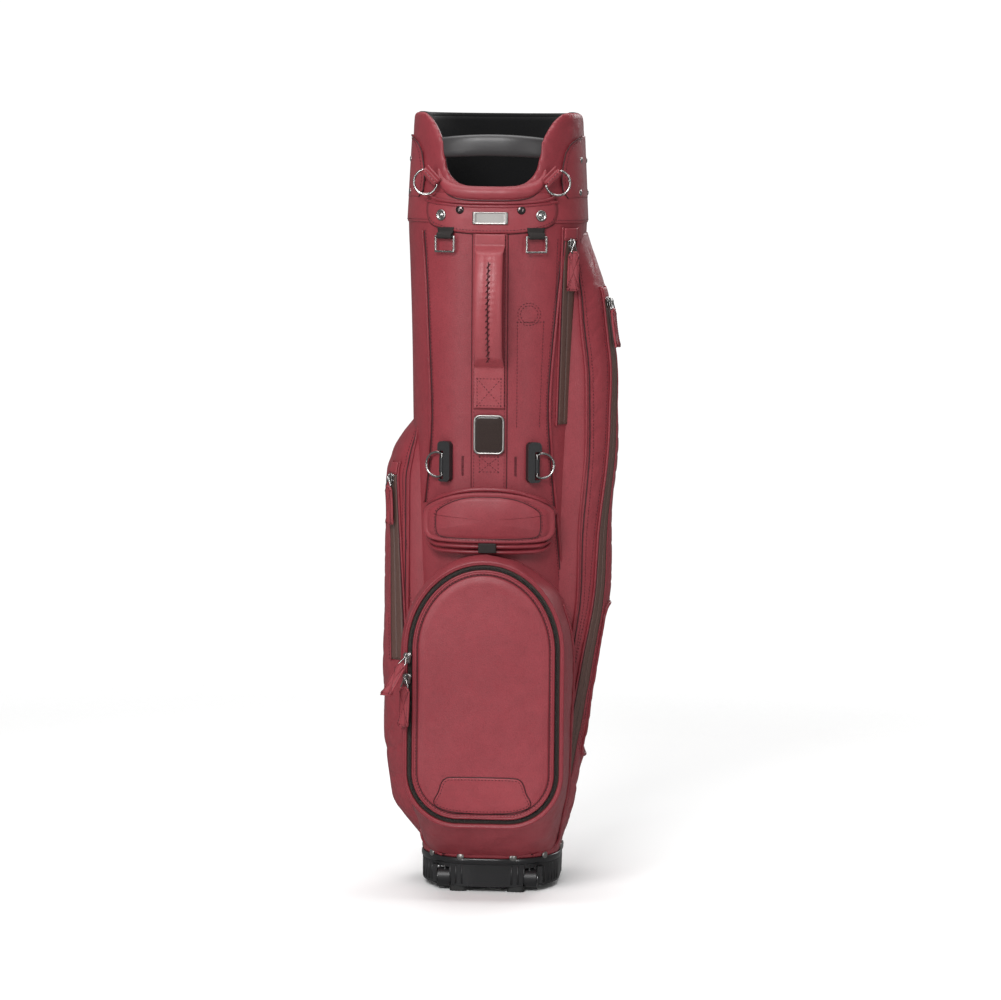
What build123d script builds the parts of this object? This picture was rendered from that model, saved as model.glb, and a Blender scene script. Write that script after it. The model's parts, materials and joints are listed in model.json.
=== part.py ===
"""Leather golf stand bag: base, body, collar, pockets, carrying hardware and the folding stand.

Millimetres, +Z up. The origin is on the ground under the middle of the body.
-Y is the spine side, with the carry handle and ball pocket; +Y is the side with the two legs.
"""
from build123d import *
from math import cos, hypot, radians, sin, sqrt
import os

# ---------------------------------------------------------------- driving sizes
# Body tube: a straight taper between two rounded rectangles.
tube_bottom_z = 38.0
tube_height = 734.0
tube_bottom_width, tube_bottom_depth, tube_bottom_round = 160.0, 188.0, 70.0
tube_top_width, tube_top_depth, tube_top_round = 202.0, 228.0, 88.0
wall = 2.6                       # leather, foam and lining together
skin_gap = 0.3                   # between sewn layers
leather = 2.4                    # one folded leather layer

# Base
pad_height = 6.0                 # rubber feet
tub_wall = 3.2
tub_floor_z = 28.0
tub_floor = 3.0
tub_spigot = 22.0                # how far the tub reaches up inside the body
base_rivet_head, base_rivet_shank = 4.0, 1.5
rivet_play = 0.05

# Foot lever and its wires
lever_x = 50.0                   # middle of each arm
arm_width, arm_height = 14.0, 7.0
knuckle_radius, lever_pin_radius = 11.0, 2.5
knuckle_z = 14.5
pin_play = 0.06
lever_lift = 5.0                 # degrees
lever_side_gap = 1.2
toe_bar_depth = 13.0
toe_bar_gap = 6.0                # behind the base
wire_radius, wire_x = 2.0, 31.0
wire_hole_play = 2.2

# Legs
leg_radius = 7.5
leg_out = 13.0                   # pivot stands off the body's corner by this
leg_foot_gap = 1.5               # between the folded foot and the body
leg_splay = 20.0                 # degrees
leg_swing = 35.0                 # degrees
leg_bottom_z = 92.0
leg_pivot_drop = 46.0            # below the top of the body
leg_corner = 56.0                # degrees, place of the legs on the rear corners
leg_barrel_radius, leg_barrel_length, leg_pin_radius = 9.5, 20.4, 3.0
ear_thickness, ear_gap = 5.0, 0.6
crank_reach = 27.0
bracket_height, bracket_thickness = 52.0, 6.0
foot_length = 34.0
foot_radius = 10.5

# Collar
collar_height = 120.0            # from the top of the body tube to the rim
collar_rim_width, collar_rim_depth, collar_rim_round = 190.0, 216.0, 84.0
collar_frame_wall = 3.0
collar_frame_below = 26.0        # how far it reaches down inside the body
roll_thickness = 13.0
roll_bottom_up = 20.0
notch_depth = 84.0               # front opening, down from the rim
notch_half_top, notch_half_middle, notch_half_bottom, notch_round = 78.0, 54.0, 51.0, 22.0
notch_step_up = 58.0             # the opening widens again from this height above its foot
band_top_up, band_low_up = 94.0, 23.0   # outer band's edges above the body tube's top
band_front = 78.0                # half the band's open front
band_rivet_up, band_rivet_top_up = 29.0, 66.0   # its rivets above the body tube's top
grid_up = 26.0                   # top of the divider grid above the body tube's top
grid_height, grid_bar = 16.0, 9.0
divider_front_y, divider_rear_y = -34.0, 38.0
divider_sheet = 1.6
lift_handle_z_up, lift_handle_height, lift_handle_thickness = 80.0, 24.0, 13.0

# Front of the collar
shield_half_width, shield_top_up, shield_bottom_down = 68.0, 14.0, 16.0
plate_width, plate_height, plate_thickness = 40.0, 14.0, 1.6
snap_x, snap_radius = 55.0, 5.4
stud_x, stud_radius = 34.0, 4.4

# Rings
ring_radius, ring_wire = 14.0, 1.4
ring_half_arc = 120.0
sleeve_length, sleeve_wall, sleeve_play = 17.0, 2.0, 0.35
tow_x, tow_width, tow_drop, tow_wire = 52.0, 24.0, 17.0, 1.2
strap_x, strap_width, strap_height, strap_thickness = 49.0, 16.5, 46.0, 7.0

# Spine
spine_width = 40.0
handle_width, handle_thickness, handle_rise = 34.0, 10.0, 24.0
handle_patch = 44.0
badge_width, badge_height, badge_frame, badge_depth = 35.0, 45.0, 2.0, 3.0

# Ball pocket
ball_low, ball_high, ball_front = 96.0, 378.0, 158.0
ball_half, ball_arch, ball_corner = 80.0, 92.0, 52.0
ball_gap = 9.0                   # zip tape between door and side wall
ball_wall = 2.6
ball_side_spread = 8.0           # the side wall is this much wider at the body
door_thickness = 5.0
door_play = 0.5
door_opens = 75.0                # degrees

# Flap pocket
flap_gap_up = 13.0               # above the ball pocket
flap_pocket_height, flap_half = 68.0, 70.0
flap_depth = 15.0
flap_mouth = 16.0
flap_opens = 110.0
flap_tab_width, flap_tab_height = 22.0, 12.0

# Side pockets
right_low, right_drop, right_bulge = 46.0, 17.0, 142.0
left_low, left_high, left_bulge = 48.0, 540.0, 134.0
slip_low, slip_high, slip_front, slip_rear = 150.0, 326.0, -24.0, 24.0
pocket_wall = 2.6

# Zips
tape_width, tape_thickness = 14.0, 0.9
slider_width, slider_length, slider_height = 8.6, 12.0, 3.6
slider_play = 0.5
pull_pin, pull_barrel = 0.8, 2.1
pull_width, pull_length, pull_thickness, pull_link = 13.0, 42.0, 2.6, 9.0
zip_end = 7.0                    # slider's middle to the end of its tape
right_slide, left_slide, ball_slide = 64.0, 190.0, 80.0
ball_upper_z, ball_pair_gap = 278.0, 24.0   # the ball pocket's two sliders on one track

# Stays, back pad and small parts
stay_radius, stay_gap = 3.5, 1.5
pad_half, pad_low, pad_tall, pad_thickness = 22.0, 330.0, 190.0, 10.0

# ---------------------------------------------------------------- heights that follow
tube_top_z = tube_bottom_z + tube_height
rim_z = tube_top_z + collar_height
shield_bottom_z = tube_top_z - shield_bottom_down
flap_low = ball_high + flap_gap_up
flap_high = flap_low + flap_pocket_height
badge_low = flap_high + 46.0
badge_high = badge_low + badge_height
handle_low = badge_high + 8.0
handle_high = shield_bottom_z - 2.0
strap_z = badge_low - 9.0
FAR = 400.0


# ---------------------------------------------------------------- body sections
def blend(low, high, share):
    return low + (high - low) * share


def tube_size(z):
    """Width, depth and corner radius of the body tube's outside at height z."""
    t = (z - tube_bottom_z) / tube_height
    return (blend(tube_bottom_width, tube_top_width, t),
            blend(tube_bottom_depth, tube_top_depth, t),
            blend(tube_bottom_round, tube_top_round, t))


def collar_size(z):
    t = (z - tube_top_z) / collar_height
    return (blend(tube_top_width, collar_rim_width, t),
            blend(tube_top_depth, collar_rim_depth, t),
            blend(tube_top_round, collar_rim_round, t))


def section(size, z, grow):
    width, depth, corner = size(z)
    return Plane.XY.offset(z) * RectangleRounded(width + 2 * grow, depth + 2 * grow, corner + grow)


def tube(low, high, grow=0.0, size=tube_size):
    """The solid of the body's outside between two heights, grown outwards."""
    return loft([section(size, low, grow), section(size, high, grow)], ruled=True)


def skin(low, high, inner, outer, size=tube_size):
    """A layer that follows the body's outside."""
    return tube(low, high, outer, size) - tube(low - 1, high + 1, inner, size)


def tall_tube(low, high, grow):
    """The outside from below the body's top to above it, in one solid."""
    return loft([section(tube_size, low, grow), section(tube_size, tube_top_z, grow),
                 section(collar_size, high, grow)], ruled=True)


def tall_skin(low, high, inner, outer):
    """A layer that runs from the body up onto the collar."""
    return tall_tube(low, high, outer) - tall_tube(low - 1, high + 1, inner)


def surface(x, z, grow=0.0, size=tube_size, back=False):
    """The y of the body's front (or back) surface at x and z."""
    width, depth, corner = size(z)
    flat, corner = width / 2 - corner, corner + grow
    over = max(0.0, abs(x) - flat)
    y = depth / 2 + grow - corner + sqrt(max(0.0, corner ** 2 - over ** 2))
    return y if back else -y


def outward(x, z, size=tube_size, back=False):
    """The outward direction in plan at x on the body's front or back."""
    width, _, corner = size(z)
    over = max(0.0, abs(x) - (width / 2 - corner))
    lean = min(1.0, over / corner)
    side = 1.0 if x >= 0 else -1.0
    straight = sqrt(1 - lean ** 2)
    return Vector(side * lean, straight if back else -straight, 0)


def corner_point(z, angle, grow):
    """A point off the body's rear right corner, angle measured from +X towards +Y."""
    width, depth, corner = tube_size(z)
    return Vector(width / 2 - corner + (corner + grow) * cos(radians(angle)),
                  depth / 2 - corner + (corner + grow) * sin(radians(angle)), z)


def front_cut(face):
    """A front-view outline carried through the bag's front half."""
    return extrude(Plane.XZ * face, amount=FAR)


def back_cut(face):
    return extrude(Plane.XZ * face, amount=-FAR)


def block(x0, x1, y0, y1, z0, z1):
    return Pos((x0 + x1) / 2, (y0 + y1) / 2, (z0 + z1) / 2) * Box(x1 - x0, y1 - y0, z1 - z0)


def rod(start, end, radius):
    start, end = Vector(*start), Vector(*end)
    along = end - start
    return extrude(Plane(origin=start, z_dir=along) * Circle(radius), amount=along.length)


def both(shape):
    """A piece and its mirror image on the other side of the bag."""
    return [shape, mirror(shape, about=Plane.YZ)]


parts = {}


def keep(name, *pieces):
    solids = [s for p in pieces for s in (p if isinstance(p, (list, ShapeList)) else [p])]
    solids = [s for piece in solids for s in piece.solids()]
    parts[name] = solids[0] if len(solids) == 1 else Compound(children=solids)


# ---------------------------------------------------------------- base
arm_low = 2.0
hinge_y = surface(lever_x, knuckle_z) + knuckle_radius - 6.0
toe_front = surface(0, knuckle_z, back=True) + toe_bar_gap
toe_middle = toe_front + toe_bar_depth / 2
lever_reach = toe_middle - hinge_y
wire_travel = lever_reach * radians(lever_lift)
slot_half = arm_width / 2 + lever_side_gap

tub = skin(pad_height, tube_bottom_z - skin_gap, -tub_wall, 0)
tub += tube(tub_floor_z, tub_floor_z + tub_floor, -tub_wall + 0.5)
spigot_out = -wall - skin_gap
spigot_low = tub_floor_z + 1
tub += skin(spigot_low, tube_bottom_z + tub_spigot, spigot_out - tub_wall, spigot_out)
tub += skin(spigot_low, tube_bottom_z - skin_gap, spigot_out - tub_wall, -0.5)

# Columns under the floor carry the rubber feet.
foot_x, foot_w, foot_d = 33.0, 20.0, 24.0
foot_front_y = surface(foot_x, pad_height) + foot_d / 2 + 0.5
foot_rear_y = 66.0
foot_places = [(sx * foot_x, y) for sx in (-1, 1) for y in (foot_front_y, foot_rear_y)] + [(0, 0)]
for x, y in foot_places:
    column = block(x - foot_w / 2, x + foot_w / 2, y - foot_d / 2, y + foot_d / 2, pad_height, tub_floor_z + 1)
    tub += column & tube(pad_height, tub_floor_z + 1, -0.5)
keep("rubber_feet", [Pos(x, y, pad_height / 2) * extrude(
    Plane.XY.offset(-pad_height / 2) * RectangleRounded(foot_w, foot_d, 5), amount=pad_height)
    for x, y in foot_places])

# Room for the lever: notches at its knuckles in front, slots for its arms behind.
notch_top = knuckle_z + knuckle_radius + 1.5
slot_top = arm_low + arm_height + wire_travel + 2.0
for sx in (-1, 1):
    mid = sx * lever_x
    tub -= block(mid - slot_half, mid + slot_half, -FAR, hinge_y + knuckle_radius + 1.5, -5, notch_top)
    tub -= block(mid - slot_half, mid + slot_half, 20, FAR, -5, slot_top)

# Lugs beside each knuckle hold its pin.
lug = 5.0
pin_half = slot_half + lug
lugs = []
for sx in (-1, 1):
    for side in (-1, 1):
        edge = sx * lever_x + side * slot_half
        x0, x1 = sorted((edge, edge + side * lug))
        lugs.append(block(x0, x1, hinge_y - 5, hinge_y + 7, knuckle_z - 5, tub_floor_z + 1))
for piece in lugs:
    tub += piece
pins = []
for sx in (-1, 1):
    mid = sx * lever_x
    pins.append(rod((mid - pin_half, hinge_y, knuckle_z), (mid + pin_half, hinge_y, knuckle_z), lever_pin_radius))
for pin in pins:
    tub -= pin
keep("lever_pins", pins)

# Rivets hold the body to the tub, all round.
rivet_z = tube_bottom_z - 3.5


def rivet_places():
    width, depth, corner = tube_size(rivet_z)
    spots = [(sx * 30.0, surface(30.0, rivet_z, back=b), outward(sx * 30.0, rivet_z, back=b))
             for sx in (-1, 1) for b in (False, True)]
    spots += [(sx * width / 2, y, Vector(sx, 0, 0)) for sx in (-1, 1) for y in (-12.0, 12.0)]
    for sx in (-1, 1):
        for sy in (-1, 1):
            lean = Vector(sx * cos(radians(38)), sy * sin(radians(38)), 0)
            spots.append((sx * (width / 2 - corner) + corner * lean.X,
                          sy * (depth / 2 - corner) + corner * lean.Y, lean))
    return spots


def rivet(x, y, normal, z, head, shank, deep, proud=1.4):
    """A low domed head standing on the surface, and its shank going in."""
    seat = Plane(origin=(x, y, z), z_dir=normal)
    top = extrude(seat.offset(skin_gap) * Circle(head), amount=proud, taper=35)
    return top + extrude(seat.offset(skin_gap + 0.01) * Circle(shank), amount=-deep)


rivets = [rivet(x, y, n, rivet_z, base_rivet_head, base_rivet_shank, tub_wall + 1.0)
          for x, y, n in rivet_places()]
for x, y, n in rivet_places():
    seat = Plane(origin=(x, y, rivet_z), z_dir=n)
    tub -= extrude(seat.offset(3) * Circle(base_rivet_shank + rivet_play), amount=-tub_wall - 5.5)
keep("base_rivets", rivets)
keep("base_tub", tub)
floor_z = tub_floor_z + tub_floor
keep("floor_pad", tube(floor_z + 0.1, floor_z + 6, spigot_out - tub_wall - 0.6))

# ---------------------------------------------------------------- foot lever and wires
lever_solids = []
for sx in (-1, 1):
    mid = sx * lever_x
    knuckle = rod((mid - arm_width / 2, hinge_y, knuckle_z), (mid + arm_width / 2, hinge_y, knuckle_z), knuckle_radius)
    arm = block(mid - arm_width / 2, mid + arm_width / 2, hinge_y, toe_front + 1, arm_low, arm_low + arm_height)
    lever_solids.append(knuckle + arm)
bar_half = lever_x + arm_width / 2
lever = block(-bar_half, bar_half, toe_front, toe_front + toe_bar_depth, arm_low, arm_low + arm_height)
for solid in lever_solids:
    lever += solid
for sx in (-1, 1):
    mid = sx * lever_x
    lever -= rod((mid - arm_width, hinge_y, knuckle_z), (mid + arm_width, hinge_y, knuckle_z),
                 lever_pin_radius + pin_play)
    lever -= Pos(sx * wire_x, toe_middle, 0) * Cylinder(wire_radius + wire_hole_play, 60)
keep("foot_lever", lever)

# ---------------------------------------------------------------- stand head and legs
pivot_z = tube_top_z - leg_pivot_drop
pivot = corner_point(pivot_z, leg_corner, leg_out)
leg_end = corner_point(leg_bottom_z, leg_corner, foot_radius + leg_foot_gap)
leg_down = (leg_end - pivot).normalized()
leg_length = (leg_end - pivot).length
swing_to = Vector(sin(radians(leg_splay)), cos(radians(leg_splay)), 0)
hinge_axis = leg_down.cross(swing_to).normalized()
leg_plane = Plane(origin=pivot, x_dir=hinge_axis, z_dir=-leg_down)   # local z up the leg
swing_dir = leg_plane.y_dir                                          # towards the open side

ear_in = leg_barrel_length / 2 + ear_gap
ear_out = ear_in + ear_thickness
bracket = skin(pivot_z - bracket_height / 2, pivot_z + bracket_height / 2, skin_gap, bracket_thickness)
bracket &= block(-pivot.X - 16, pivot.X + 16, 20, FAR, 0, 2000)
barrel_room = leg_plane * (Rot(0, 90, 0) * Cylinder(leg_barrel_radius + 1.2, leg_barrel_length + 2 * ear_gap))
leg_room = leg_plane * (Pos(0, 0, -45) * Box(2 * ear_in, 2 * leg_barrel_radius + 3, 90))
for flip in (False, True):
    ears = leg_plane * (Pos((ear_in + ear_out) / 2, -5, 0) * Box(ear_thickness, 30, 22))
    ears += leg_plane * (Pos(-(ear_in + ear_out) / 2, -5, 0) * Box(ear_thickness, 30, 22))
    ears -= tube(pivot_z - 60, pivot_z + 30, skin_gap + 1.0)
    ears -= leg_plane * (Rot(0, 90, 0) * Cylinder(leg_pin_radius, 60))
    room = barrel_room + leg_room
    if flip:
        ears, room = mirror(ears, about=Plane.YZ), mirror(room, about=Plane.YZ)
    bracket -= room
    bracket += ears
keep("leg_bracket", bracket)

leg_pin = leg_plane * (Rot(0, 90, 0) * Cylinder(leg_pin_radius, 2 * ear_out))
keep("leg_pivots", both(leg_pin))

socket_length = 40.0
tube_start = 22.0
crank_inner = pivot.X - wire_x
hinge_cap = Rot(0, 90, 0) * Cylinder(leg_barrel_radius, leg_barrel_length)
hinge_cap += Pos(0, 0, -socket_length / 2) * Cylinder(leg_radius + 2.2, socket_length)
hinge_cap += Pos(0, leg_barrel_radius + 4, 0) * Box(leg_barrel_length, 14, 9)
crank_y = crank_reach
hinge_cap += Pos(-crank_inner / 2, crank_y, 0) * Box(crank_inner + leg_barrel_length, 10, 9)
hinge_cap += Pos(0, crank_y / 2 + 4, 0) * Box(leg_barrel_length, crank_y - 2, 9)
hinge_cap -= Rot(0, 90, 0) * Cylinder(leg_pin_radius + pin_play, 80)
hinge_cap -= Pos(0, 0, -tube_start - (socket_length - tube_start) / 2 - 1) * Cylinder(
    leg_radius + 0.05, socket_length - tube_start + 2)
leg_tube = Pos(0, 0, -(tube_start + leg_length - foot_length) / 2) * Cylinder(
    leg_radius, leg_length - foot_length - tube_start)
leg_tube -= Pos(0, 0, -(tube_start + leg_length - foot_length) / 2) * Cylinder(
    leg_radius - 1.2, leg_length)
foot_low, foot_top = -leg_length, -(leg_length - foot_length - 12)
leg_foot = Pos(0, 0, foot_low) * (
    extrude(Circle(foot_radius - 2.5), amount=foot_length * 0.4, taper=-12)
    + Pos(0, 0, foot_length * 0.4 - 0.01) * Cylinder(
        foot_radius, foot_length * 0.6 + 12, align=(Align.CENTER, Align.CENTER, Align.MIN)))
leg_foot -= Pos(0, 0, -(leg_length - foot_length)) * Cylinder(
    leg_radius + 0.05, 60, align=(Align.CENTER, Align.CENTER, Align.MIN))
for name, local in (("hinge", hinge_cap), ("tube", leg_tube), ("foot", leg_foot)):
    right, left = both(leg_plane * local)
    keep(f"leg_right_{name}", right)
    keep(f"leg_left_{name}", left)

# Each wire stands in the toe bar and ends just under its crank.
crank_end = leg_plane.origin + leg_plane.x_dir * -crank_inner + leg_plane.y_dir * crank_y
wire_foot = Vector(wire_x, toe_middle, arm_low + 1.0)
wire_mid_low = Vector(wire_x, toe_middle, 60.0)
wire_mid_high = Vector(wire_x, surface(wire_x, pivot_z - 70, back=True) + 14.0, pivot_z - 70)
wire_top = Vector(crank_end.X, crank_end.Y, crank_end.Z - 4.5 - 2.5)
slide_axis = (wire_mid_high - wire_mid_low).normalized()
wire_path = [wire_foot, wire_mid_low, wire_mid_high, wire_top]
wire_solid = rod(wire_path[0], wire_path[1], wire_radius)
for a, b in zip(wire_path[1:], wire_path[2:]):
    wire_solid += rod(a, b, wire_radius)
    wire_solid += Pos(a.X, a.Y, a.Z) * Sphere(wire_radius)
keep("stand_wires", both(wire_solid))

# ---------------------------------------------------------------- body tube, stays, dividers
frame_low = tube_top_z - collar_frame_below
body = skin(tube_bottom_z, tube_top_z, -wall, 0)
keep("body_shell", body)

stay_in = wall + skin_gap + tub_wall + stay_gap + stay_radius
stay_top_z = frame_low - 1.0
stay = rod((tube_size(floor_z)[0] / 2 - stay_in, 4, floor_z + 6.3),
           (tube_size(stay_top_z)[0] / 2 - stay_in, 4, stay_top_z), stay_radius)
keep("frame_stays", both(stay))

inner = spigot_out - tub_wall - 1.2
sheet_low, sheet_high = floor_z + 6.5, tube_top_z + grid_up - grid_height - 0.5
hall = tube(sheet_low, sheet_high, inner)
half = divider_sheet / 2
sheets = [hall & block(-FAR, FAR, y - half, y + half, sheet_low, sheet_high)
          for y in (divider_front_y, divider_rear_y)]
sheets.append(hall & block(-half, half, divider_front_y + half + 0.2, divider_rear_y - half - 0.2,
                           sheet_low, sheet_high))
keep("divider_panels", sheets)

# ---------------------------------------------------------------- collar


def notch(grow=0.0):
    """The front opening's outline: wide at the rim, rounded at its foot."""
    low = rim_z - notch_depth - grow
    high = rim_z + 60
    step = low + notch_step_up
    slope = (notch_half_top - notch_half_middle) / (notch_depth - notch_step_up)
    a, m = notch_half_bottom + grow, notch_half_middle + grow
    b = m + slope * (high - step)
    outline = Polygon((-b, high), (-m, step), (-a, low), (a, low), (m, step), (b, high), align=None)
    feet = [v for v in outline.vertices() if v.Y < low + 1]
    return fillet(feet, notch_round)


def collar(low, high, inner_grow, outer_grow):
    """A layer of the collar, which runs on from the body's top with its own taper."""
    return skin(low, high, inner_grow, outer_grow, size=collar_size)


frame_out = -wall - skin_gap
collar_frame = tall_skin(frame_low, rim_z - 22, frame_out - collar_frame_wall, frame_out)
collar_frame -= front_cut(notch(4.0))
keep("collar_frame", collar_frame)

roll_out = 0.0
roll_low = tube_top_z + roll_bottom_up - 20.0 + 0.4
roll = collar(roll_low, rim_z - 12, frame_out + 0.2, roll_out)
roll += collar(rim_z - 21.5, rim_z, frame_out - 8.0, roll_out)
roll -= front_cut(notch())
roll = roll.solids().sort_by(SortBy.VOLUME)[-1]
keep("collar_roll", roll)

# The outer band wraps the sides and back; its front corners rise into ears.
band_low, band_high = tube_top_z + band_low_up, tube_top_z + band_top_up
band = collar(band_low, band_high, skin_gap, leather + skin_gap)
dip = Polygon((-band_front - 6, band_low - 5), (band_front + 6, band_low - 5), (band_front, band_low + 14),
              (band_front + 3, band_low + 45), (band_front + 16, band_high + 5), (-band_front - 16, band_high + 5),
              (-band_front - 3, band_low + 45), (-band_front, band_low + 14), align=None)
band -= front_cut(dip)
keep("outer_band", band)

shield_low, shield_high = shield_bottom_z, tube_top_z + shield_top_up
shield_face = Pos(0, (shield_low + shield_high) / 2) * RectangleRounded(
    2 * shield_half_width, shield_high - shield_low, 9)
shield = tall_skin(shield_low - 1, shield_high + 1, skin_gap, leather + skin_gap) & front_cut(shield_face)
keep("shield_panel", shield)

# Divider grid: a rim inside the frame and three bars over the divider sheets.
grid_top = tube_top_z + grid_up
grid_low = grid_top - grid_height
grid_out = frame_out - collar_frame_wall - 0.5
rim_ring = collar(grid_low, grid_top, grid_out - 5.0, grid_out)
grid_hall = tube(grid_low, grid_top, grid_out - 2.0, collar_size)
bars = [grid_hall & block(-FAR, FAR, y - grid_bar / 2, y + grid_bar / 2, grid_low, grid_top)
        for y in (divider_front_y, divider_rear_y)]
bars.append(block(-grid_bar / 2, grid_bar / 2, divider_front_y, divider_rear_y, grid_low, grid_top))
grid = rim_ring
for bar in bars:
    grid += bar
keep("divider_grid", grid)

# Lift handle: a moulded bar across the front opening, bowed with the collar.
lift_z = tube_top_z + lift_handle_z_up
lift_out, lift_in = -4.0, -4.0 - lift_handle_thickness
lift = collar(lift_z - lift_handle_height / 2, lift_z + lift_handle_height / 2, lift_in, lift_out)
lift_half = notch_half_middle - 1.5
lift &= block(-lift_half, lift_half, -FAR, 0, 0, 2000)
keep("lift_handle", lift)

# ---------------------------------------------------------------- small fasteners on the collar
face_out = leather + skin_gap


def on_front(x, z, grow, size=tube_size):
    """A plane on the front surface at x and z, its normal outwards and its y up."""
    normal = outward(x, z, size)
    side = Vector(0, 0, 1).cross(normal)
    return Plane(origin=(x, surface(x, z, grow, size), z), x_dir=side, z_dir=normal)


snap_z, stud_z = tube_top_z + 3.0, tube_top_z + 8.0
snaps = []
for x, z, radius in ((snap_x, snap_z, snap_radius), (-snap_x, snap_z, snap_radius),
                     (stud_x, stud_z, stud_radius), (-stud_x, stud_z, stud_radius)):
    seat = on_front(x, z, face_out + 0.7)
    snaps.append(extrude(seat * Circle(radius), amount=1.6, taper=25))
keep("snap_studs", snaps)

band_rivets = []
band_rivet_places = [(-42.0, band_rivet_top_up), (30.0, band_rivet_top_up), (-50.0, band_rivet_up), (30.0, band_rivet_up)]
for y, up in band_rivet_places:
    z = tube_top_z + up
    width = collar_size(z)[0] / 2
    corner = collar_size(z)[2]
    depth = collar_size(z)[1] / 2
    over = max(0.0, abs(y) - (depth - corner))
    x = width - corner + sqrt(corner ** 2 - over ** 2)
    normal = Vector(x - (width - corner), (1 if y > 0 else -1) * over, 0).normalized()
    seat = Plane(origin=Vector(x, y, z) + normal * (face_out + 0.4), z_dir=normal)
    band_rivets += both(extrude(seat * Circle(3.6), amount=1.4, taper=25))
keep("band_rivets", band_rivets)

plate_z = tube_top_z
plate_seat = Plane(origin=(0, surface(0, plate_z, face_out + 0.9), plate_z), x_dir=(1, 0, 0), z_dir=(0, -1, 0))
keep("name_plate", extrude(plate_seat * RectangleRounded(plate_width, plate_height, 1.5), amount=plate_thickness))


# ---------------------------------------------------------------- rings and their holders
def d_ring():
    """A D ring in its own plane: straight bar on local X, bow towards -Y."""
    centre_y = -ring_radius * cos(radians(180 - ring_half_arc))
    profile = Plane.XZ * Pos(ring_radius, 0) * Circle(ring_wire)
    bow = revolve(profile, axis=Axis.Z, revolution_arc=2 * ring_half_arc)
    bow = Rot(0, 0, -90 - ring_half_arc) * bow
    bow = Pos(0, centre_y, 0) * bow
    half_bar = ring_radius * sin(radians(180 - ring_half_arc))
    ring = bow + rod((-half_bar, 0, 0), (half_bar, 0, 0), ring_wire)
    for sx in (-1, 1):
        ring += Pos(sx * half_bar, 0, 0) * Sphere(ring_wire)
    return ring


def sleeve(length, reach, wire, tab_thick=2.0):
    """A leather loop round a ring's bar, with its tail going up the bag."""
    outer = wire + sleeve_play + sleeve_wall
    loop = Rot(0, 90, 0) * Cylinder(outer, length)
    loop += Pos(0, reach / 2, -outer + tab_thick / 2) * Box(length, reach, tab_thick)
    return loop - Rot(0, 90, 0) * Cylinder(wire + sleeve_play, length + 2)


# Collar rings hang from slanted loops on the front corners.
collar_ring_z = tube_top_z + 45.0
collar_ring_x = 70.0
slant, facing = 45.0, 15.0       # degrees: the bar's slope, and how far the ring faces outwards
ring_stand = ring_wire + sleeve_play + sleeve_wall + skin_gap
seat = on_front(collar_ring_x, collar_ring_z, leather + skin_gap + ring_stand + 4.0, collar_size)
ring_face = Vector(sin(radians(facing)), -cos(radians(facing)), 0)
bar_dir = Vector(0, 0, 1).cross(ring_face) * cos(radians(slant)) + Vector(0, 0, 1) * sin(radians(slant))
collar_ring_plane = Plane(origin=seat.origin, x_dir=bar_dir, z_dir=ring_face)
right, left = both(collar_ring_plane * d_ring())
keep("collar_ring_right", right)
keep("collar_ring_left", left)
loop = collar_ring_plane * sleeve(sleeve_length, 9.0, ring_wire)
keep("ring_loops", both(loop))

# Tow rings hang on webbing under the shield.
tow_z = shield_bottom_z - 5.0
tow_plane = on_front(tow_x, tow_z, ring_stand + 1.0)
half_w = tow_width / 2
corners = [(-half_w, 0, 0), (half_w, 0, 0), (half_w, -tow_drop, 0), (-half_w, -tow_drop, 0)]
tow = rod(corners[0], corners[1], tow_wire)
for a, b in zip(corners[1:], corners[2:] + corners[:1]):
    tow += rod(a, b, tow_wire)
for point in corners:
    tow += Pos(*point) * Sphere(tow_wire)
right, left = both(tow_plane * tow)
keep("tow_ring_right", right)
keep("tow_ring_left", left)
keep("tow_loops", both(tow_plane * sleeve(tow_width - 6, 3.6, tow_wire)))

# Strap anchors: moulded tabs, each with a slot whose outer bar carries a D ring.
strap_plane = on_front(strap_x, strap_z, 0.9)
ring_plane = Plane(origin=strap_plane.origin + strap_plane.x_dir * (strap_width / 2 - 4.5)
                   + strap_plane.z_dir * 3.6 + Vector(0, 0, -4),
                   x_dir=(0, 0, 1), z_dir=strap_plane.z_dir)
anchor = extrude(strap_plane * RectangleRounded(strap_width, strap_height, 5), amount=strap_thickness)
slot_length = 2 * (ring_radius + ring_wire) + 1.6
window = ring_plane * Box(slot_length, 7.0, 20)
anchor -= window
bridge_gap = ring_wire + sleeve_play
bridge_length = 2 * ring_radius * sin(radians(180 - ring_half_arc)) - 8.0
bridge = ring_plane * (Rot(0, 90, 0) * Cylinder(bridge_gap + 1.6, bridge_length))
bridge += ring_plane * (Pos(0, 3.2, 0) * Box(bridge_length, 5.0, 2.4))
bridge -= ring_plane * (Rot(0, 90, 0) * Cylinder(bridge_gap, slot_length))
anchor += bridge
anchor -= ring_plane * (Pos(0, -10, 4.15) * Box(slot_length, 13.8, 11.7))
anchor = anchor.solids().sort_by(SortBy.VOLUME)[-1]
keep("strap_anchors", both(anchor))
right, left = both(ring_plane * d_ring())
keep("strap_ring_right", right)
keep("strap_ring_left", left)

# ---------------------------------------------------------------- spine
spine_face = Polygon((-spine_width / 2, flap_high + 4), (spine_width / 2, flap_high + 4),
                     (spine_width / 2, shield_bottom_z - 1), (-spine_width / 2, shield_bottom_z - 1), align=None)
spine = skin(flap_high, shield_bottom_z, skin_gap, 1.5) & front_cut(spine_face)
keep("spine_strip", spine)

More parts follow.
